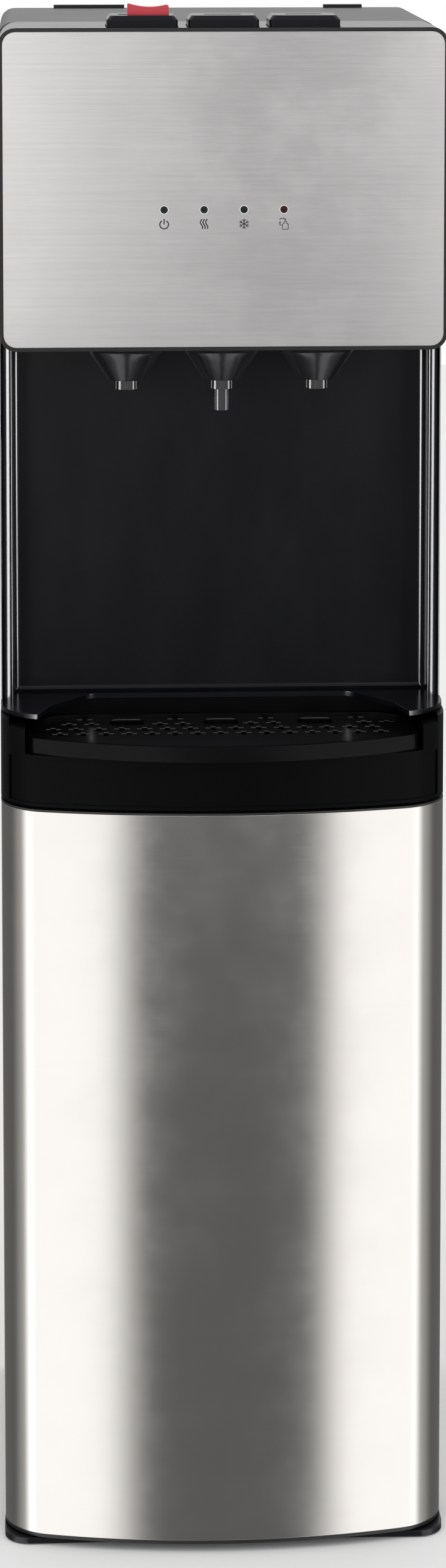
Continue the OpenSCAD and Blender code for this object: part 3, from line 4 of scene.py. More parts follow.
import bpy
import numpy as np
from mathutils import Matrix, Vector


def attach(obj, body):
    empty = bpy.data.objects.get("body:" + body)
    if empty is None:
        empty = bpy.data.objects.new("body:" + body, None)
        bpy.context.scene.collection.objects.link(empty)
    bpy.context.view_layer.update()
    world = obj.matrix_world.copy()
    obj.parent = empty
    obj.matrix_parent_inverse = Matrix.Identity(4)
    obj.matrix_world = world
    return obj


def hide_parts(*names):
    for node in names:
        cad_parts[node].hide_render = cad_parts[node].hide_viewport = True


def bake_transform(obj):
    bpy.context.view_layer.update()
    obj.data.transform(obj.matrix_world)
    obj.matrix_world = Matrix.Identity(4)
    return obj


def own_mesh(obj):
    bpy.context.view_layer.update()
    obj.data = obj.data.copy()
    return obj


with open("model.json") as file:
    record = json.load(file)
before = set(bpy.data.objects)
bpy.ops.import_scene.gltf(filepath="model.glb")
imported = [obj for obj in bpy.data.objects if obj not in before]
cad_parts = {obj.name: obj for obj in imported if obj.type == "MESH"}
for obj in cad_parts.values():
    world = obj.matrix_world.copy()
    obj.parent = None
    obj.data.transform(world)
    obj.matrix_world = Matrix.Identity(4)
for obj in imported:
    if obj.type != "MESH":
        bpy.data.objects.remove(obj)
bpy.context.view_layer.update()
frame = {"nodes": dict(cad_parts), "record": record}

MM = 0.001


def mm(*values):
    """Millimetres to metres."""
    return tuple(v * MM for v in values)


# ---------------------------------------------------------------- camera

scene = bpy.context.scene
scene.view_settings.view_transform = "Standard"

LENS = 93.17
YAW = math.radians(-2.596)
TILT = math.radians(5.888)

camera = bpy.data.objects.new("camera", bpy.data.cameras.new("camera"))
scene.collection.objects.link(camera)
camera.data.sensor_width = 36
camera.data.lens = LENS
camera.data.shift_x = 0
camera.data.shift_y = -0.35
camera.data.clip_start = 0.05
camera.data.clip_end = 50
camera.location = mm(-126, -2900, 1210)
camera.rotation_euler = (math.pi / 2 - TILT, 0, YAW)
scene.camera = camera

# ---------------------------------------------------------------- shader helpers


class Grain:
    """One output of a shader node. Sums and products of it become Math nodes."""

    def __init__(self, tree, out):
        self.tree = tree
        self.out = out

    def node(self, kind, settings=(), links=(), out=0):
        made = self.tree.nodes.new(kind)
        for key, value in dict(settings).items():
            setattr(made, key, value)
        for key, value in dict(links).items():
            feed(self.tree, made.inputs[key], value)
        return Grain(self.tree, made.outputs[out])

    def math(self, operation, *values):
        return self.node("ShaderNodeMath", {"operation": operation}, dict(enumerate(values)))

    def __add__(self, other):
        return self.math("ADD", self, other)

    __radd__ = __add__

    def __sub__(self, other):
        return self.math("SUBTRACT", self, other)

    def __rsub__(self, other):
        return self.math("SUBTRACT", other, self)

    def __mul__(self, other):
        return self.math("MULTIPLY", self, other)

    __rmul__ = __mul__

    def ramp(self, start, end, low=0.0, high=1.0):
        """Runs smoothly from low at start to high at end."""
        return self.node(
            "ShaderNodeMapRange",
            {"interpolation_type": "SMOOTHSTEP"},
            {0: self, 1: start, 2: end, 3: low, 4: high},
        )

    def mix(self, dark, light):
        """A colour between two, by this value."""
        return self.node(
            "ShaderNodeMix", {"data_type": "RGBA"}, {0: self, 6: dark, 7: light}, out=2
        )


def feed(tree, socket, value):
    if isinstance(value, Grain):
        tree.links.new(value.out, socket)
    elif socket.type == "RGBA" and len(value) == 3:
        socket.default_value = (*value, 1.0)
    else:
        socket.default_value = value


def new_tree(name):
    """A material's node tree with its shader, and the piece's own coordinates in millimetres."""
    material = bpy.data.materials.new(name)
    material.use_nodes = True
    tree = material.node_tree
    shader = tree.nodes["Principled BSDF"]
    place = Grain(tree, tree.nodes.new("ShaderNodeTexCoord").outputs["Object"])
    place = place.node("ShaderNodeVectorMath", {"operation": "SCALE"}, {0: place, "Scale": 1000.0})
    return material, tree, shader, place


def stretched(place, x, y, z):
    """The coordinates scaled by axis, for a grain that runs one way."""
    return place.node("ShaderNodeVectorMath", {"operation": "MULTIPLY"}, {0: place, 1: (x, y, z)})


def noise(place, scale, detail=3.0, rough=0.55):
    values = {"Vector": place, "Scale": scale, "Detail": detail, "Roughness": rough}
    return place.node("ShaderNodeTexNoise", {}, values)


def cells(place, scale, out=0):
    """Cells about scattered points: by distance from them, or with out=1 each in a colour of its own."""
    return place.node("ShaderNodeTexVoronoi", {"feature": "F1"}, {"Vector": place, "Scale": scale}, out=out)


def axis(place, k):
    return place.node("ShaderNodeSeparateXYZ", {}, {0: place}, out=k)


def finish_surface(
    tree, shader, color=None, rough=None, height=None, depth=0.1, edge=0.0, metal=None, **fixed
):
    """Puts the values on the shader. depth (of the bump) and edge (the radius) are in millimetres."""
    if color is not None:
        feed(tree, shader.inputs["Base Color"], color)
    if rough is not None:
        feed(tree, shader.inputs["Roughness"], rough)
    if metal is not None:
        feed(tree, shader.inputs["Metallic"], metal)
    start = Grain(tree, shader.outputs[0])
    normal = None
    if edge:
        normal = start.node("ShaderNodeBevel", {"samples": 4}, {"Radius": edge * MM})
    if height is not None:
        links = {"Strength": 1.0, "Distance": depth * MM, "Height": height}
        if normal is not None:
            links["Normal"] = normal
        normal = start.node("ShaderNodeBump", {}, links)
    if normal is not None:
        tree.links.new(normal.out, shader.inputs["Normal"])
    for key, value in fixed.items():
        feed(tree, shader.inputs[key.replace("_", " ")], value)


# ---------------------------------------------------------------- materials


def shade(color, factor):
    """The colour made darker or lighter."""
    return tuple(min(1.0, c * factor) for c in color)


def moulded_plastic(name, color, gloss, grain_mm=0.9, depth=0.012, edge=0.5, mottle=0.12, shine=0.5):
    """Injection-moulded plastic: fine spark-eroded grain, faint flow marks, slightly uneven gloss."""
    material, tree, shader, place = new_tree(name)
    fine = noise(place, 1.0 / grain_mm, 4.0, 0.6)
    flow = noise(stretched(place, 0.02, 0.02, 0.008), 1.0, 3.0)
    finish_surface(
        tree, shader, color=flow.ramp(0.3, 0.7).mix(shade(color, 1 - mottle), shade(color, 1 + mottle)),
        rough=gloss + (fine - 0.5) * 0.06 + (flow - 0.5) * 0.06, height=fine, depth=depth, edge=edge,
        Specular_IOR_Level=shine,
    )
    return material


def rubber(name, color):
    material, tree, shader, place = new_tree(name)
    fine = noise(place, 2.2, 5.0, 0.65)
    dust = noise(place, 0.12, 3.0)
    finish_surface(
        tree, shader, color=dust.ramp(0.45, 0.8).mix(color, tuple(c * 1.9 + 0.01 for c in color)),
        rough=0.72 + (fine - 0.5) * 0.2, height=fine, depth=0.05, edge=0.4,
    )
    return material


def powder_paint(name, color, gloss=0.42, peel_mm=1.6, depth=0.02, metal=0.0, edge=0.35):
    """Sprayed and baked paint with its orange peel."""
    material, tree, shader, place = new_tree(name)
    peel = noise(place, 1.0 / peel_mm, 2.0, 0.5)
    cloud = noise(place, 0.012, 3.0)
    fleck = cells(place, 1.6).ramp(0.05, 0.30, 1.0, 0.0)
    body = cloud.ramp(0.3, 0.7).mix(shade(color, 0.94), shade(color, 1.05))
    finish_surface(
        tree, shader, color=(fleck * 0.22).mix(body, shade(color, 1.5)),
        rough=gloss + (peel - 0.5) * 0.12 + (cloud - 0.5) * 0.06,
        height=peel, depth=depth, edge=edge, Metallic=metal,
    )
    return material


def brushed_steel(
    name, color, gloss, lines=(0.02, 0.02, 4.0), depth=0.004, wear=0.04, streak=0.06, edge=0.3
):
    """Stainless sheet. lines says how the brushing stretches the grain along each axis, per millimetre."""
    material, tree, shader, place = new_tree(name)
    brush = noise(stretched(place, *lines), 1.0, 6.0, 0.7)
    wide = noise(stretched(place, *[v * 0.15 for v in lines]), 1.0, 3.0)
    smudge = noise(place, 0.018, 4.0, 0.6)
    tone = (brush - 0.5) * streak * 3 + (wide - 0.5) * streak * 2.4 + 0.5
    finish_surface(
        tree, shader, color=tone.mix(shade(color, 0.82), shade(color, 1.16)),
        rough=gloss + (brush - 0.5) * wear * 1.5 + (smudge.ramp(0.35, 0.75) - 0.5) * wear,
        height=brush, depth=depth, edge=edge, Metallic=1.0,
    )
    return material


def galvanised_sheet(name, color):
    """Zinc-coated sheet with its pale spangle."""
    material, tree, shader, place = new_tree(name)
    flake = axis(cells(place, 0.11, out=1), 0)
    fine = noise(place, 0.9, 4.0)
    finish_surface(
        tree, shader, color=flake.mix(shade(color, 0.8), shade(color, 1.15)),
        rough=0.34 + flake * 0.14 + (fine - 0.5) * 0.1,
        height=flake * 0.5 + fine * 0.5, depth=0.03, edge=0.3, Metallic=0.95,
    )
    return material


def foam(name, color, cell_mm=1.4, skin=0.5):
    """Expanded foam: fused beads with small pits between them, the pits painted darker as shade."""
    material, tree, shader, place = new_tree(name)
    bead = cells(place, 1.0 / cell_mm)
    pit_depth_and_shade = bead.ramp(0.35, 0.75)
    fine = noise(place, 1.8, 4.0)
    height = (1.0 - pit_depth_and_shade) * 0.7 + fine * 0.3
    # Painted shade: the colour darkens in the pits between the beads, which the bump also sinks.
    finish_surface(
        tree, shader, color=pit_depth_and_shade.mix(color, shade(color, 0.72)),
        rough=0.86 + (fine - 0.5) * 0.1, height=height, depth=0.35 * skin, edge=1.0,
    )
    return material


def soft_hose(name, color):
    """Translucent silicone with faint extrusion lines."""
    material, tree, shader, place = new_tree(name)
    haze = noise(place, 0.06, 3.0)
    line = noise(stretched(place, 0.7, 0.7, 0.05), 1.0, 3.0)
    finish_surface(
        tree, shader, color=haze.mix(shade(color, 0.9), color),
        rough=0.3 + (line - 0.5) * 0.16, height=line, depth=0.03,
        Subsurface_Weight=0.35, Subsurface_Radius=(0.6, 0.6, 0.6), Subsurface_Scale=0.003, Coat_Weight=0.15,
    )
    return material


def drawn_copper(name, color):
    """Copper tube with dull brown patches."""
    material, tree, shader, place = new_tree(name)
    patch = noise(place, 0.05, 5.0, 0.65)
    fine = noise(place, 1.1, 4.0)
    tarnish = patch.ramp(0.48, 0.75)
    finish_surface(
        tree, shader, color=tarnish.mix(color, shade(color, 0.38)),
        rough=0.24 + tarnish * 0.3 + (fine - 0.5) * 0.1, height=fine, depth=0.02, Metallic=1.0,
    )
    return material


def circuit_board(name, color):
    """Solder mask over copper tracks on a square pitch, with tinned pads."""
    material, tree, shader, place = new_tree(name)
    row = axis(place, 2).math("FRACT", axis(place, 2) * 0.4)
    track = row.ramp(0.42, 0.47) * (1.0 - row.ramp(0.53, 0.58))
    broken = noise(stretched(place, 0.08, 0.08, 0.4), 1.0, 1.0).ramp(0.48, 0.52)
    pad = cells(place, 0.25).ramp(0.12, 0.2, 1.0, 0.0)
    copper = track * broken
    mask = copper.mix(color, shade(color, 1.7))
    finish_surface(
        tree, shader, color=pad.mix(mask, (0.62, 0.60, 0.56)), rough=0.34 - pad * 0.1,
        height=copper * 0.5 + pad, depth=0.05, edge=0.15, metal=pad * 0.9,
    )
    return material


def lamp_glass(name, color, glow):
    """A dark tinted light pipe, faintly lit from behind."""
    material, tree, shader, place = new_tree(name)
    fine = noise(place, 1.5, 3.0)
    finish_surface(
        tree, shader, color=fine.mix(color, shade(color, 1.4)), rough=0.12 + (fine - 0.5) * 0.08,
        height=fine, depth=0.01, edge=0.5, Emission_Color=glow, Emission_Strength=0.25, Specular_IOR_Level=0.25,
    )
    return material


paint = {
    "black_plastic": moulded_plastic(
        "black cabinet plastic", (0.0042, 0.0046, 0.0056), 0.24, shine=0.40,
    ),
    "niche_plastic": moulded_plastic(
        "black niche plastic", (0.0026, 0.0030, 0.0046), 0.19, depth=0.004, shine=0.11,
    ),
    "bezel_plastic": moulded_plastic("black bezel plastic", (0.0014, 0.0015, 0.0018), 0.36, shine=0.05),
    "button_plastic": moulded_plastic(
        "black button plastic", (0.0050, 0.0052, 0.0075), 0.22, grain_mm=0.5, shine=0.12,
    ),
    "tray_plastic": moulded_plastic("black tray plastic", (0.0022, 0.0023, 0.0027), 0.26, shine=0.09),
    "grille_plastic": moulded_plastic(
        "black grille plastic", (0.0026, 0.0028, 0.0033), 0.24, edge=1.0, shine=1.0,
    ),
    "nozzle_plastic": moulded_plastic(
        "black nozzle plastic", (0.0060, 0.0062, 0.0075), 0.10, depth=0.003,
    ),
    "shroud_plastic": moulded_plastic("dark shroud plastic", (0.0115, 0.0115, 0.0140), 0.20),
    "cap_plastic": moulded_plastic("door cap plastic", (0.0085, 0.0088, 0.0095), 0.36),
    "rubber_black": rubber("foot and grommet rubber", (0.018, 0.018, 0.018)),
    "panel_paint": powder_paint("silver panel paint", (0.40, 0.405, 0.415), metal=0.35),
    "back_paint": powder_paint("rear panel paint", (0.42, 0.425, 0.435), gloss=0.5, metal=0.25),
    "galvanised": galvanised_sheet("zinc sheet", (0.56, 0.57, 0.58)),
    "bolt_zinc": galvanised_sheet("zinc bolt", (0.50, 0.51, 0.52)),
    "spring_steel": brushed_steel("spring wire", (0.42, 0.42, 0.43), 0.26, lines=(2.0, 2.0, 0.3)),
    "head_steel": brushed_steel(
        "head plate steel", (0.563, 0.553, 0.549), 0.16, lines=(0.045, 0.045, 3.2), streak=0.15, depth=0.001,
    ),
    "bright_edge": brushed_steel(
        "polished hole edge", (0.93, 0.93, 0.93), 0.45, lines=(0.5, 0.5, 0.5), depth=0.001,
    ),
    "door_steel": brushed_steel(
        "door steel", (0.61, 0.592, 0.566), 0.16, lines=(0.02, 0.02, 2.6), streak=0.02, depth=0.0008,
    ),
    "grey_plastic": moulded_plastic(
        "grey top plastic", (0.040, 0.041, 0.044), 0.40, grain_mm=1.2, depth=0.02, shine=0.4,
    ),
    "white_plastic": moulded_plastic("white fitting plastic", (0.70, 0.70, 0.665), 0.38, mottle=0.05),
    "dark_plastic": moulded_plastic(
        "dark liner plastic", (0.036, 0.036, 0.040), 0.42, grain_mm=1.4, depth=0.03,
    ),
    "pump_plastic": moulded_plastic("pump plastic", (0.062, 0.064, 0.070), 0.40, grain_mm=1.1),
    "black_paint": powder_paint(
        "compressor paint", (0.013, 0.013, 0.014), gloss=0.36, peel_mm=2.4, depth=0.04,
    ),
    "wire_paint": powder_paint("condenser paint", (0.014, 0.014, 0.015), gloss=0.45, peel_mm=0.9),
    "tank_steel": brushed_steel(
        "tank steel", (0.60, 0.60, 0.60), 0.30, lines=(0.02, 0.02, 1.6), streak=0.10,
    ),
    "copper_tube": drawn_copper("copper tube", (0.70, 0.36, 0.22)),
    "foam_white": foam("cream tank foam", (0.80, 0.77, 0.64)),
    "foam_grey": foam("grey tank foam", (0.055, 0.055, 0.060), cell_mm=0.9),
    "heater_band": brushed_steel(
        "heater band", (0.62, 0.50, 0.30), 0.34, lines=(0.03, 0.03, 1.2), streak=0.12,
    ),
    "hose_silicone": soft_hose("silicone hose", (0.74, 0.75, 0.76)),
    "red_plastic": moulded_plastic("red plastic", (0.56, 0.020, 0.040), 0.28, grain_mm=0.6, mottle=0.06),
    "lock_red": moulded_plastic(
        "lock red plastic", (0.62, 0.030, 0.050), 0.30, grain_mm=0.5, mottle=0.06,
    ),
    "green_plastic": moulded_plastic(
        "green plastic", (0.020, 0.26, 0.085), 0.28, grain_mm=0.6, mottle=0.06,
    ),
    "blue_plastic": moulded_plastic(
        "blue plastic", (0.020, 0.10, 0.44), 0.28, grain_mm=0.6, mottle=0.06,
    ),
    "board_green": circuit_board("indicator board", (0.018, 0.15, 0.065)),
    "lamp_green": lamp_glass("green-black lamp", (0.0035, 0.0085, 0.0065), (0.0, 0.01, 0.005)),
    "lamp_red": lamp_glass("dark red lamp", (0.022, 0.004, 0.004), (0.02, 0.0, 0.0)),
    "sign_print": moulded_plastic("sign print", (0.020, 0.020, 0.022), 0.55, edge=0.0),
}

# Nodes whose finish differs from their record slot's plain one
FINISH = {
    "hot_button": "button_plastic", "room_button": "button_plastic", "cold_button": "button_plastic",
    "niche_panel": "niche_plastic", "tray_bezel": "bezel_plastic", "drip_tray": "tray_plastic",
    "drip_grille": "grille_plastic", "tap_nozzles": "nozzle_plastic", "centre_spout": "nozzle_plastic",
    "tap_shrouds": "shroud_plastic", "door_end_caps": "cap_plastic", "back_panel": "back_paint",
    "service_panel": "back_paint", "screws": "bolt_zinc", "water_pump": "pump_plastic",
    "condenser": "wire_paint", "child_lock": "lock_red", "indicator_lamps": "lamp_green",
}

# ---------------------------------------------------------------- CAD nodes

NODE_ANGLE = 32
RED_LAMP_FROM = 0.035


def soften(mesh, angle):
    """Smooth shading across curved faces, sharp where faces meet at more than the angle."""
    mesh.shade_smooth()
    mesh.set_sharp_from_angle(angle=math.radians(angle))


def even_shading(mesh, angle):
    """The same for a CAD mesh, whose faces don't share vertices. Only its normals are set."""
    mesh.shade_smooth()
    spots = np.empty(3 * len(mesh.vertices))
    mesh.vertices.foreach_get("co", spots)
    vertex = np.empty(len(mesh.loops), dtype=np.int64)
    mesh.loops.foreach_get("vertex_index", vertex)
    normals = np.empty(3 * len(mesh.polygons))
    mesh.polygons.foreach_get("normal", normals)
    areas = np.empty(len(mesh.polygons))
    mesh.polygons.foreach_get("area", areas)
    sides = np.empty(len(mesh.polygons), dtype=np.int64)
    mesh.polygons.foreach_get("loop_total", sides)
    face = np.repeat(np.arange(len(sides)), sides)
    normals = normals.reshape(-1, 3)
    spots = np.round(spots.reshape(-1, 3) * 1e5).astype(np.int64)[vertex]
    group = np.unique(spots, axis=0, return_inverse=True)[1].ravel()
    order = np.argsort(group, kind="stable")
    edges = np.searchsorted(group[order], np.arange(group.max() + 2))
    limit = math.cos(math.radians(angle))
    shaded = np.empty((len(face), 3))
    for a, b in zip(edges[:-1], edges[1:]):
        own = order[a:b]
        around = normals[face[own]]
        near = (around @ around.T) > limit
        total = (near * (areas[face[own]] + 1e-12)) @ around
        shaded[own] = total / np.linalg.norm(total, axis=1, keepdims=True)
    mesh.normals_split_custom_set(shaded.tolist())


slot_of = {s["node"]: s["material_slot"] for s in frame["record"]["subparts"]}
for name, node in frame["nodes"].items():
    finish = paint[FINISH.get(name, slot_of[name])]
    node.data.materials.clear()
    node.data.materials.append(finish)
    even_shading(node.data, NODE_ANGLE)

# Three lamps are green-black, and the one on the right is red
lamps = frame["nodes"]["indicator_lamps"].data
lamps.materials.append(paint["lamp_red"])
for face in lamps.polygons:
    if face.center.x > RED_LAMP_FROM:
        face.material_index = 1

# ---------------------------------------------------------------- building helpers


def link(obj, body, finish, replaced=()):
    """Puts a piece into the scene."""
    scene.collection.objects.link(obj)
    obj.data.materials.append(paint[finish])
    if body:
        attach(obj, body)
    if replaced:
        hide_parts(*replaced)
    return obj


def curve_through(points, steps):
    """The smooth curve that the solids of the hoses follow."""
    out = []
    last = len(points) - 2
    for i in range(last + 1):
        a, b = Vector(points[max(i - 1, 0)]), Vector(points[i])
        c, d = Vector(points[i + 1]), Vector(points[min(i + 2, len(points) - 1)])
        for k in range(steps + 1 if i == last else steps):
            t = k / steps
            bend = (2 * a - 5 * b + 4 * c - d) * t * t
            out.append(0.5 * (2 * b + (c - a) * t + bend + (3 * b - a - 3 * c + d) * t ** 3))
    return out


def tube_line(name, points, radius, body, finish, replaced=()):
    """A round tube along one open line. Points and radius are in millimetres."""
    data = bpy.data.curves.new(name, "CURVE")
    data.dimensions = "3D"
    data.bevel_depth = radius * MM
    data.bevel_resolution = 5
    data.use_fill_caps = True
    line = data.splines.new("POLY")
    line.points.add(len(points) - 1)
    for p, q in zip(line.points, points):
        p.co = (q[0] * MM, q[1] * MM, q[2] * MM, 1.0)
    line.use_smooth = True
    return link(bpy.data.objects.new(name, data), body, finish, replaced)


def swept(points, radius, sides, first_side):
    """Vertices and faces of a closed round tube. Points and radius are in millimetres, and
    first_side is a way across its start."""
    verts, faces = [], []
    out = Vector(first_side)
    for i, p in enumerate(points):
        before, after = points[max(i - 1, 0)], points[min(i + 1, len(points) - 1)]
        along = (Vector(after) - Vector(before)).normalized()
        out = (out - out.dot(along) * along).normalized()
        over = along.cross(out)
        for j in range(sides):
            b = 2 * math.pi * j / sides
            verts.append((Vector(p) + radius * (math.cos(b) * out + math.sin(b) * over)) * MM)
        if i:
            k = sides * i
            for j in range(sides):
                faces.append((k - sides + j, k - sides + (j + 1) % sides, k + (j + 1) % sides, k + j))
    faces += [tuple(range(sides - 1, -1, -1)), tuple(range(len(verts) - sides, len(verts)))]
    return verts, faces


def line_length(points):
    """In metres, from points in millimetres."""
    return sum((Vector(b) - Vector(a)).length for a, b in zip(points, points[1:])) * MM


def mesh_object(name, verts, faces, body, slot, finish, replaced=(), angle=30):
    """A piece of its own mesh, in metres, sharp at more than the angle."""
    data = bpy.data.meshes.new(name)
    data.from_pydata([tuple(v) for v in verts], [], faces)
    data.validate()
    data.update()
    soften(data, angle)
    return link(bpy.data.objects.new(name, data), body, finish, replaced)


def arc(cx, cy, r, a0, a1, n, first=0):
    """Points of a circle from a0 to a1 degrees, in n steps, without those before the first."""
    turn = [math.radians(a0 + (a1 - a0) * i / n) for i in range(first, n + 1)]
    return [(cx + r * math.cos(a), cy + r * math.sin(a)) for a in turn]


# ---------------------------------------------------------------- free hose of the lance

# Millimetres: the lance's top, the shelf above the bay, and the port in it
lx, ly, lz = 128.5, -45.0, 502.0
BAY_TOP = 566.0
PORT = (140.0, 80.0)
FREE_HOSE_R = 4.0
free_route = curve_through([
    (lx, ly, lz + 0.3), (lx, ly, lz + 6), (lx, ly, lz + 12),
    (lx + 4, ly + 8, lz + 30), (lx + 9, ly + 27, lz + 39),
    (lx + 14, ly + 46, lz + 30), (lx + 15, ly + 54, lz + 10), (lx + 16, ly + 56, BAY_TOP - 120),
    (lx + 16, ly + 56, BAY_TOP - 290), (lx + 16, ly + 60, BAY_TOP - 336), (lx + 14, ly + 78, BAY_TOP - 366),
    (lx + 13, ly + 104, BAY_TOP - 366), (PORT[0], PORT[1] - 3, BAY_TOP - 336), (PORT[0], PORT[1], BAY_TOP - 290),
    (PORT[0], PORT[1], BAY_TOP - 130), (PORT[0], PORT[1], BAY_TOP - 2.3),
], 8)
free_hose = mesh_object(
    "lance_free_hose", *swept(free_route, FREE_HOSE_R, 16, (1, 0, 0)), None,
    "hose_silicone", "hose_silicone", ["lance_hose"],
)
mm(lx, ly, lz + 0.3)
[mm(*p) for p in free_route]
mm(lx, ly + 5, lz)
mm(lx, ly + 50, lz)
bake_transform(free_hose)

# ---------------------------------------------------------------- water hoses between the fittings

# Millimetres. COLD and HOT are the tanks' axes and the radii of their foam, PUMP is the middle of the
# pump's foot, and GAP is the room that a hose has at each fitting.
TAP_PITCH, TAP_Y, HOSE_R, GAP = 66.4, -98.0, 5.0, 0.3
PORT_Z, PORT_LOW, TANK_Z = 870.0, 764.0, 785.0
COLD = (71.5, 60.0, 78.5)
HOT = (-80.5, 60.0, 61.5)
COLD_PORTS = (COLD[0] - 30, COLD[0] + 20)
HOT_PORTS = (HOT[0] + 22, HOT[0] - 18)
SERVICE_Y, DRAIN_Z = 160.0, 592.0
PUMP = (96.0, 40.0, 567.5)
valve_end = TAP_Y + 28 + GAP
low = PORT_LOW - GAP
hot_end = HOT[1] - HOT[2] - 7.5 - GAP
cold_end = COLD[1] - COLD[2] - 7.5 - GAP
room_end = COLD[1] - COLD[2] - 6 - GAP
room_x, room_z = COLD[0] - 30, PORT_Z + 80
top_z = TANK_Z + 190 + 27.5 + GAP
side_x = 154 - HOSE_R - 1.5
drain_y = SERVICE_Y - 20
drain_end = SERVICE_Y - 8.5 - GAP
pump_in = (PUMP[0] + 30 + GAP, PUMP[1] + 10, PUMP[2] + 20)
pump_out = (PUMP[0] + 8, PUMP[1] + 32 + GAP, PUMP[2] + 26)

hose_routes = {
    "hot_tap_hose": [
        (-TAP_PITCH, valve_end, PORT_Z), (-TAP_PITCH, valve_end + 5, PORT_Z), (-TAP_PITCH, valve_end + 10, PORT_Z),
        (HOT[0], hot_end - 12, PORT_Z), (HOT[0], hot_end - 6, PORT_Z), (HOT[0], hot_end, PORT_Z)],
    "cold_tap_hose": [
        (TAP_PITCH, valve_end, PORT_Z), (TAP_PITCH, valve_end + 5, PORT_Z), (TAP_PITCH, valve_end + 10, PORT_Z),
        (COLD[0], cold_end - 12, PORT_Z), (COLD[0], cold_end - 6, PORT_Z), (COLD[0], cold_end, PORT_Z)],
    "room_tap_hose": [
        (0, valve_end, PORT_Z), (0, valve_end + 5, PORT_Z), (0, valve_end + 10, PORT_Z),
        (5, valve_end + 20, PORT_Z + 14), (room_x / 2, valve_end + 24, PORT_Z + 44),
        (room_x - 4, room_end - 20, room_z - 10), (room_x, room_end - 13, room_z),
        (room_x, room_end - 6, room_z), (room_x, room_end, room_z)],
    "tank_link_hose": [
        (COLD_PORTS[0], COLD[1], low), (COLD_PORTS[0], COLD[1], low - 5), (COLD_PORTS[0], COLD[1], low - 9),
        (COLD_PORTS[0] - 4, COLD[1], low - 15), (COLD_PORTS[0] - 16, COLD[1], low - 17),
        (HOT_PORTS[0] + 16, HOT[1], low - 17), (HOT_PORTS[0] + 4, HOT[1], low - 15),
        (HOT_PORTS[0], HOT[1], low - 9), (HOT_PORTS[0], HOT[1], low - 5), (HOT_PORTS[0], HOT[1], low)],
    "pump_feed_hose": [
        (PORT[0], PORT[1], BAY_TOP - 2), (PORT[0], PORT[1], BAY_TOP + 4), (PORT[0], PORT[1], BAY_TOP + 9),
        (PORT[0], PORT[1] - 8, pump_in[2] - 3), (PORT[0] - 1, PORT[1] - 18, pump_in[2]),
        (pump_in[0] + 8, pump_in[1] + 2, pump_in[2]), (pump_in[0] + 4, pump_in[1], pump_in[2]),
        (pump_in[0] + 2, pump_in[1], pump_in[2]), pump_in],
    "pump_rise_hose": [
        pump_out, (pump_out[0], pump_out[1] + 4, pump_out[2]), (pump_out[0], pump_out[1] + 8, pump_out[2]),
        (pump_out[0] + 5, pump_out[1] + 20, pump_out[2] + 4), (side_x - 8, drain_y - 22, pump_out[2] + 60),
        (side_x, SERVICE_Y - 18, 730), (side_x, SERVICE_Y - 14, 790), (side_x, SERVICE_Y - 14, top_z - 50),
        (side_x - 1, SERVICE_Y - 17, top_z - 16), (side_x - 16, COLD[1] + 48, top_z + 10),
        (COLD[0] + 18, COLD[1] + 12, top_z + 17), (COLD[0] + 4, COLD[1] + 2, top_z + 15),
        (COLD[0], COLD[1], top_z + 9), (COLD[0], COLD[1], top_z + 5), (COLD[0], COLD[1], top_z)],
}
for key, x in (("hot_drain_hose", HOT_PORTS[1]), ("cold_drain_hose", COLD_PORTS[1])):
    hose_routes[key] = [
        (x, COLD[1], low), (x, COLD[1], low - 5), (x, COLD[1], low - 9), (x, COLD[1] + 12, low - 19),
        (x, drain_y - 20, low - 20), (x, drain_y - 3, low - 28), (x, drain_y, low - 48),
        (x, drain_y, DRAIN_Z + 24), (x, drain_y + 0.5, DRAIN_Z + 10), (x, drain_y + 4, DRAIN_Z + 2),
        (x, drain_y + 8, DRAIN_Z), (x, drain_end - 1.6, DRAIN_Z), (x, drain_end, DRAIN_Z)]
CORD_FROM = 0.1  # metres: the length that the loop below measures each hose against
for key, points in hose_routes.items():
    route = curve_through(points, 6)
    piece = tube_line(key, route, HOSE_R, "cabinet", "hose_silicone", ["water_hoses"])
    if line_length(route) > CORD_FROM:
        mm(*route[0])

# ---------------------------------------------------------------- condenser and evaporator

# Millimetres. CX is half the length of a run, CY their plane and CZ the lowest one. COMP is the
# compressor's axis, foot, height and radius, and DRIER the drier's axis, foot and length.
TUBE_R, CX, CY, CZ, PITCH, RUNS = 2.4, 126.0, 175.9, 632.0, 28.0, 14
WIRES, WIRE_R = 20, 0.7
COMP = (-58.0, 65.0, 582.0, 148.0, 70.0)
DRIER = (COLD[0] - 8, COLD[1] + COLD[2] + 12, PORT_Z + 76, 50.0)
rows_top = CZ + (RUNS - 1) * PITCH
drier_top = DRIER[2] + DRIER[3]
comp_top = COMP[2] + COMP[3]
serpentine = curve_through([
    (COMP[0] + COMP[4] - 1.5, COMP[1] + 10, COMP[2] + 58),
    (COMP[0] + COMP[4] + 12, COMP[1] + 14, COMP[2] + 59), (COLD[0] + 20, COLD[1] + 60, COMP[2] + 60),
    (CX - 4, SERVICE_Y - 10, CZ + 8), (CX + 9, SERVICE_Y + 7, CZ + 3), (CX + 5, CY, CZ)], 10)
for i in range(RUNS - 1):
    s = -1 if i % 2 == 0 else 1
    for x, z in arc(0, 0, PITCH / 2, -90, 90, 16):
        serpentine.append(Vector((s * (CX + x), CY, CZ + (i + 0.5) * PITCH + z)))
serpentine += curve_through([
    (CX, CY, rows_top), (CX + 8, CY - 2, rows_top + 3), (CX + 6, DRIER[1] + 8, drier_top + 14),
    (DRIER[0] + 20, DRIER[1] + 2, drier_top + 14), (DRIER[0] + 2, DRIER[1], drier_top + 10),
    (DRIER[0], DRIER[1], drier_top - 0.4)], 10)
tube_line("condenser_tube", serpentine, TUBE_R, "cabinet", "wire_paint", ["condenser"])

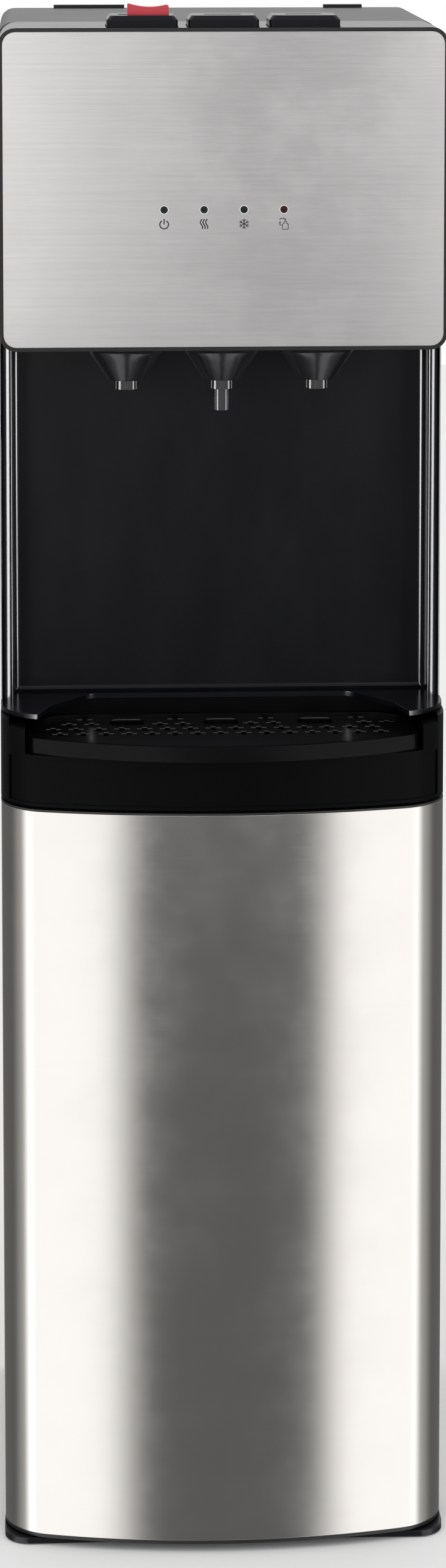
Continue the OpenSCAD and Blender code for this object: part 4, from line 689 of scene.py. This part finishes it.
rods = bpy.data.curves.new("condenser_wires", "CURVE")
rods.dimensions = "3D"
rods.bevel_depth = WIRE_R * MM
rods.bevel_resolution = 2
rods.use_fill_caps = True
for i in range(WIRES):
    for s in (-1, 1):
        wire = rods.splines.new("POLY")
        wire.points.add(1)
        x = (-CX + 4 + i * (2 * CX - 8) / (WIRES - 1)) * MM
        y = (CY + s * (TUBE_R + 0.6)) * MM
        wire.points[0].co = (x, y, (CZ - 8) * MM, 1)
        wire.points[1].co = (x, y, (rows_top + 8) * MM, 1)
link(bpy.data.objects.new("condenser_wires", rods), "cabinet", "wire_paint", ["condenser"])

coil_r = (62 + TUBE_R + 0.5) / math.cos(math.radians(7.5))
coil_z, coil_rise, coil_turns = TANK_Z + 15, 14.0, 8
COIL_STEPS = 72  # to a turn
coil_back = COLD[1] + COLD[2] + 10
coil_top = coil_z + coil_rise * coil_turns
coil = curve_through([
    (COMP[0] + 30, COMP[1] + 20, comp_top + 10), (COMP[0] + 32, COMP[1] + 24, comp_top + 17),
    (COMP[0] + 46, COMP[1] + 50, comp_top + 22), (COLD[0] - 30, coil_back, comp_top + 24),
    (COLD[0] + 10, coil_back, coil_z - 34), (COLD[0] + 12, coil_back, coil_z - 12)], 10)
coil += [Vector((COLD[0] + 9, coil_back - 6, coil_z - 1)),
         Vector((COLD[0] + 5, COLD[1] + coil_r + 8, coil_z - 0.2))]
for i in range(coil_turns * COIL_STEPS + 1):
    a = math.radians(90 + 360 // COIL_STEPS * i)
    rise = coil_rise * i / COIL_STEPS
    coil.append(Vector((COLD[0] + coil_r * math.cos(a), COLD[1] + coil_r * math.sin(a), coil_z + rise)))
coil += [Vector((COLD[0] - 6, COLD[1] + coil_r + 6, coil_top + 0.3)),
         Vector((COLD[0] - 8, coil_back - 6, coil_top + 2))]
coil += curve_through([
    (COLD[0] - 8, coil_back, coil_top + 8), (COLD[0] - 8, coil_back, coil_top + 20), DRIER[:3]], 8)
tube_line("evaporator_tube", coil, TUBE_R, "cabinet", "copper_tube", ["evaporator"])


def lathe(name, profile, centre, body, slot, finish, replaced=(), sides=48):
    """A turned piece about a vertical axis, from (radius, height) pairs in millimetres."""
    verts, faces = [], []
    for r, z in profile:
        for k in range(sides):
            a = 2 * math.pi * k / sides
            verts.append(mm(centre[0] + r * math.cos(a), centre[1] + r * math.sin(a), z))
    for i in range(len(profile) - 1):
        for k in range(sides):
            a, b = i * sides + k, i * sides + (k + 1) % sides
            faces.append((a, b, b + sides, a + sides))
    faces.append(tuple(reversed(range(sides))))
    faces.append(tuple(range((len(profile) - 1) * sides, len(profile) * sides)))
    return mesh_object(name, verts, faces, body, slot, finish, replaced)


lathe("filter_drier", [
    (2.6, DRIER[2] - 0.5), (5.2, DRIER[2] + 1.2), (7.4, DRIER[2] + 4), (8, DRIER[2] + 7), (8, DRIER[2] + 42),
    (7.4, DRIER[2] + 45), (5.2, DRIER[2] + 48), (2.6, DRIER[2] + 49.5)],
    DRIER[:2], "cabinet", "copper_tube", "copper_tube", ["evaporator"])

# ---------------------------------------------------------------- return springs

# Millimetres: the heights of the end turns, which lie flat, and the radii of a spring and its wire
SPRING_FOOT, SPRING_TOP, SPRING_R, SPRING_WIRE_R = 1043.6, 1059.1, 4.45, 0.55
SPRING_TURNS, SPRING_STEPS, FLAT_END = 6, 28, 0.08

for k, key in ((-1, "hot"), (0, "room"), (1, "cold")):
    wound = []
    for i in range(SPRING_TURNS * SPRING_STEPS + 1):
        t = i / (SPRING_TURNS * SPRING_STEPS)
        rise = min(1.0, max(0.0, (t - FLAT_END) / (1 - 2 * FLAT_END)))
        a = 2 * math.pi * SPRING_TURNS * t
        wound.append(Vector((
            k * TAP_PITCH + SPRING_R * math.cos(a), TAP_Y + SPRING_R * math.sin(a),
            SPRING_FOOT + (SPRING_TOP - SPRING_FOOT) * rise,
        )))
    spring = mesh_object(
        key + "_spring_coil", *swept(wound, SPRING_WIRE_R, 8, (1, 0, 0)), "cabinet",
        "galvanised", "spring_steel", [key + "_spring"], angle=60,
    )
    key + "_button_push"
    mm(k * TAP_PITCH, TAP_Y, 1043)
    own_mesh(spring)

# ---------------------------------------------------------------- door skin

# Millimetres: radius and centre of the bow and of the corners, and the sheet's rear edge. MEET is the
# angle, in degrees, at which bow and corner meet.
DOOR_BOW, DOOR_BOW_Y = 500.0, 332.0
CORNER, CORNER_X, CORNER_Y = 40.0, 115.0, -113.393
HINGE_Y = -109.993
MEET = 75.5225
HALF_WIDTH, SHEET = 155, 1
DOOR_FOOT, DOOR_TOP = 8.6, 526.5


def door_front(inset):
    """The door's outline seen from above, from left to right."""
    return (arc(-CORNER_X, CORNER_Y, CORNER - inset, 180, 180 + MEET, 40)
            + arc(0, DOOR_BOW_Y, DOOR_BOW - inset, 180 + MEET, 360 - MEET, 120, 1)
            + arc(CORNER_X, CORNER_Y, CORNER - inset, 360 - MEET, 360, 40, 1))


def sheet_wall(name, outer, inner, z0, z1, body, slot, finish, replaced):
    """A bent sheet between two outlines of equal length, standing from z0 to z1."""
    n = len(outer)
    ring = [mm(x, y, z) for pts, z in ((outer, z0), (outer, z1), (inner, z1), (inner, z0)) for x, y in pts]
    faces = []
    for i in range(n - 1):
        for a, b in ((0, 1), (1, 2), (2, 3), (3, 0)):
            faces.append((a * n + i, a * n + i + 1, b * n + i + 1, b * n + i))
    faces.append((0, n, 2 * n, 3 * n))
    faces.append((n - 1, 4 * n - 1, 3 * n - 1, 2 * n - 1))
    return mesh_object(name, ring, faces, body, slot, finish, replaced)


outer, inner = (
    [(inset - HALF_WIDTH, HINGE_Y)] + door_front(inset) + [(HALF_WIDTH - inset, HINGE_Y)]
    for inset in (0, SHEET)
)
sheet_wall("door_sheet", outer, inner, DOOR_FOOT, DOOR_TOP, "door", "door_steel", "door_steel", ["door_skin"])

# ---------------------------------------------------------------- signs under the lamps

# Millimetres. PRINT is how far the print stands out, LINE the width of its lines.
SIGN_Z, LAMP_PITCH, PLATE_FRONT = 932.6, 27.4, -137.6
PRINT, LINE, THIN, FINE = 0.04, 0.85, 0.6, 0.5


def stroke(points, width, closed=False):
    """A flat line of even width, as a strip of quads in the plane of the plate."""
    pts = [Vector(p) for p in points]
    n = len(pts)
    verts, faces = [], []
    for i, p in enumerate(pts):
        a = pts[(i - 1) % n] if closed or i > 0 else p
        b = pts[(i + 1) % n] if closed or i < n - 1 else p
        d = (b - a).normalized()
        side = Vector((-d.y, d.x)) * width / 2
        verts += [p + side, p - side]
    for i in range(n if closed else n - 1):
        a, b = 2 * i, 2 * ((i + 1) % n)
        faces.append((a, a + 1, b + 1, b))
    return verts, faces


def printed_sign(name, cx, strokes):
    """All strokes of one sign as one piece, a hair in front of the plate."""
    verts, faces = [], []
    for vs, fs in strokes:
        base = len(verts)
        for v in vs:
            verts.append(mm(cx + v.x, PLATE_FRONT - PRINT, SIGN_Z + v.y))
        faces += [tuple(base + i for i in f) for f in fs]
    return mesh_object(name, verts, faces, "cabinet", "black_plastic", "sign_print")


power = [stroke(arc(0, -0.3, 2.95, 122, 418, 30), LINE), stroke([(0, -0.2), (0, 3.6)], LINE)]
heights = [i / 20 for i in range(21)]
waves = [stroke([(x + 0.75 * math.sin(2 * math.pi * t + 0.5), -3.4 + 6.8 * t) for t in heights], LINE)
         for x in (-1.8, 0, 1.8)]
flake = []
for a in range(0, 360, 60):
    u = Vector((math.cos(math.radians(a + 90)), math.sin(math.radians(a + 90))))
    v = Vector((-u.y, u.x))
    flake.append(stroke([(0, 0), u * 3.6], THIN))
    flake.append(stroke([u * 1.9, u * 2.9 + v * 1.15], FINE))
    flake.append(stroke([u * 1.9, u * 2.9 - v * 1.15], FINE))
bottle = [(0.3, 1.7), (1.6, 1.7), (1.6, 0.7), (2.9, -0.5), (2.9, -3.8), (-1.0, -3.8), (-1.0, -0.5), (0.3, 0.7)]
refill = [
    stroke(bottle, THIN, closed=True),
    stroke([(-2.8, 2.2), (-2.8, 3.6), (0.9, 3.6), (0.9, 2.9)], THIN),
    stroke([(-2.8, 0.9), (-2.8, -1.1), (-1.6, -1.1)], THIN),
    stroke([(0.2, 3.0), (0.9, 2.3), (1.6, 3.0)], FINE), stroke([(-3.5, 0.5), (-2.8, 1.2), (-2.1, 0.5)], FINE)]
for key, k, strokes in (
    ("power_sign", -1.5, power), ("heat_sign", -0.5, waves),
    ("cool_sign", 0.5, flake), ("refill_sign", 1.5, refill),
):
    printed_sign(key, k * LAMP_PITCH, strokes)

# ---------------------------------------------------------------- bright edges of the lamp holes

LAMP_Z, LAMP_R = 942.4, 2.5
for i, key in enumerate(("power", "heat", "cool", "refill")):
    x = (i - 1.5) * LAMP_PITCH
    ring, n = [], 40
    for r, y in ((LAMP_R + 0.02, 0.0), (LAMP_R + 0.1, 0.10), (LAMP_R + 0.4, 0.10), (LAMP_R + 0.5, 0.0)):
        for j in range(n):
            a = 2 * math.pi * j / n
            ring.append(mm(x + r * math.cos(a), PLATE_FRONT - y, LAMP_Z + r * math.sin(a)))
    faces = [(a * n + j, a * n + (j + 1) % n, b * n + (j + 1) % n, b * n + j)
             for a, b in ((0, 1), (1, 2), (2, 3)) for j in range(n)]
    mesh_object(key + "_lamp_edge", ring, faces, "cabinet", "head_steel", "bright_edge")

# ---------------------------------------------------------------- studio

floor_mesh = bpy.data.meshes.new("floor")
floor_mesh.from_pydata([(-6, -6, 0), (6, -6, 0), (6, 6, 0), (-6, 6, 0)], [], [(0, 1, 2, 3)])
floor = bpy.data.objects.new("floor", floor_mesh)
scene.collection.objects.link(floor)
floor_paint, floor_tree, floor_shader, floor_place = new_tree("studio floor")
floor_tone = noise(floor_place, 0.004).mix((0.80, 0.80, 0.80), (0.82, 0.82, 0.82))
finish_surface(floor_tree, floor_shader, color=floor_tone, Roughness=0.85)
floor_shader.inputs["Specular IOR Level"].default_value = 0.0
floor_mesh.materials.append(floor_paint)
floor.visible_glossy = False

world = bpy.data.worlds.new("studio")
scene.world = world
world.use_nodes = True
sky = world.node_tree
sky.nodes.clear()
way = Grain(sky, sky.nodes.new("ShaderNodeTexCoord").outputs["Generated"])
east, north, up = axis(way, 0), axis(way, 1), axis(way, 2)
turn = east.math("ARCTAN2", east, -1.0 * north) * (180 / math.pi)


def panel(a0, soft0, a1, soft1, level):
    """A soft panel of light that stands between two bearings, in degrees from the front."""
    return turn.ramp(a0 - soft0, a0 + soft0) * (1.0 - turn.ramp(a1 - soft1, a1 + soft1)) * level


# The door mirrors the lower part, which has two bright panels, and the head plate the upper one, which
# is darkest a little to the right of the front. Only the camera sees the backdrop white.
FILL, BEHIND, OVERHEAD = 0.155, 0.9, 1.2
away = turn.math("ABSOLUTE", turn)
side_fill = away.ramp(50, 66) * away.ramp(75, 112, 0.40, 0.0) + FILL
lower = side_fill + panel(-73, 10, -15, 4.5, 1.5) + panel(20.7, 4.5, 69, 11, 1.5)
off = turn - 3.9
notch = off.ramp(-7.5, 0.0, 1.94, 0.41) + off.ramp(0.0, 5.0, 0.0, 1.53)
upper = notch * away.ramp(9, 24, 1.0, 0.60) * away.ramp(60, 120, 1.0, 0.35)
height = up.ramp(-0.175, -0.150)
front = lower * (1.0 - height) + upper * height
behind = away.ramp(160, 172)
around = front * (1.0 - behind) + behind * BEHIND
overhead = up.ramp(0.50, 0.75)
glow = around * (1.0 - overhead) + overhead * OVERHEAD
seen = Grain(sky, sky.nodes.new("ShaderNodeLightPath").outputs["Is Camera Ray"])
level = glow * (1.0 - seen) + seen
backdrop = sky.nodes.new("ShaderNodeBackground")
backdrop.inputs["Color"].default_value = (1, 1, 1, 1)
sky.links.new(level.out, backdrop.inputs["Strength"])
sky.links.new(backdrop.outputs[0], sky.nodes.new("ShaderNodeOutputWorld").inputs["Surface"])

# Tall soft boxes, which only the glossy black pieces that they are for mirror
niche_set = bpy.data.collections.new("niche_mirrors")
niche_set.objects.link(frame["nodes"]["niche_panel"])
tap_set = bpy.data.collections.new("tap_mirrors")
for name in ("tap_shrouds", "tap_nozzles", "centre_spout"):
    tap_set.objects.link(frame["nodes"][name])
BOX_AWAY, BOX_HEIGHT, BOX_CENTRE = 3, 2.4, 1.0  # metres
for name, bearing, width, level, mirrors in (
    ("left_niche_box", -37, 1.7, 75, niche_set), ("right_niche_box", 42, 1.5, 62, niche_set),
    ("left_tap_box", -75, 1.3, 9, tap_set), ("right_tap_box", 80, 1.0, 7, tap_set),
):
    box = bpy.data.lights.new(name, "AREA")
    box.shape = "RECTANGLE"
    box.size, box.size_y = width, BOX_HEIGHT
    box.energy = level * 4 * width * BOX_HEIGHT
    lamp = bpy.data.objects.new(name, box)
    a = math.radians(bearing)
    lamp.location = (BOX_AWAY * math.sin(a), -BOX_AWAY * math.cos(a), BOX_CENTRE)
    lamp.rotation_euler = (math.pi / 2, 0, a)
    lamp.visible_camera = lamp.visible_diffuse = False
    lamp.light_linking.receiver_collection = mirrors
    scene.collection.objects.link(lamp)
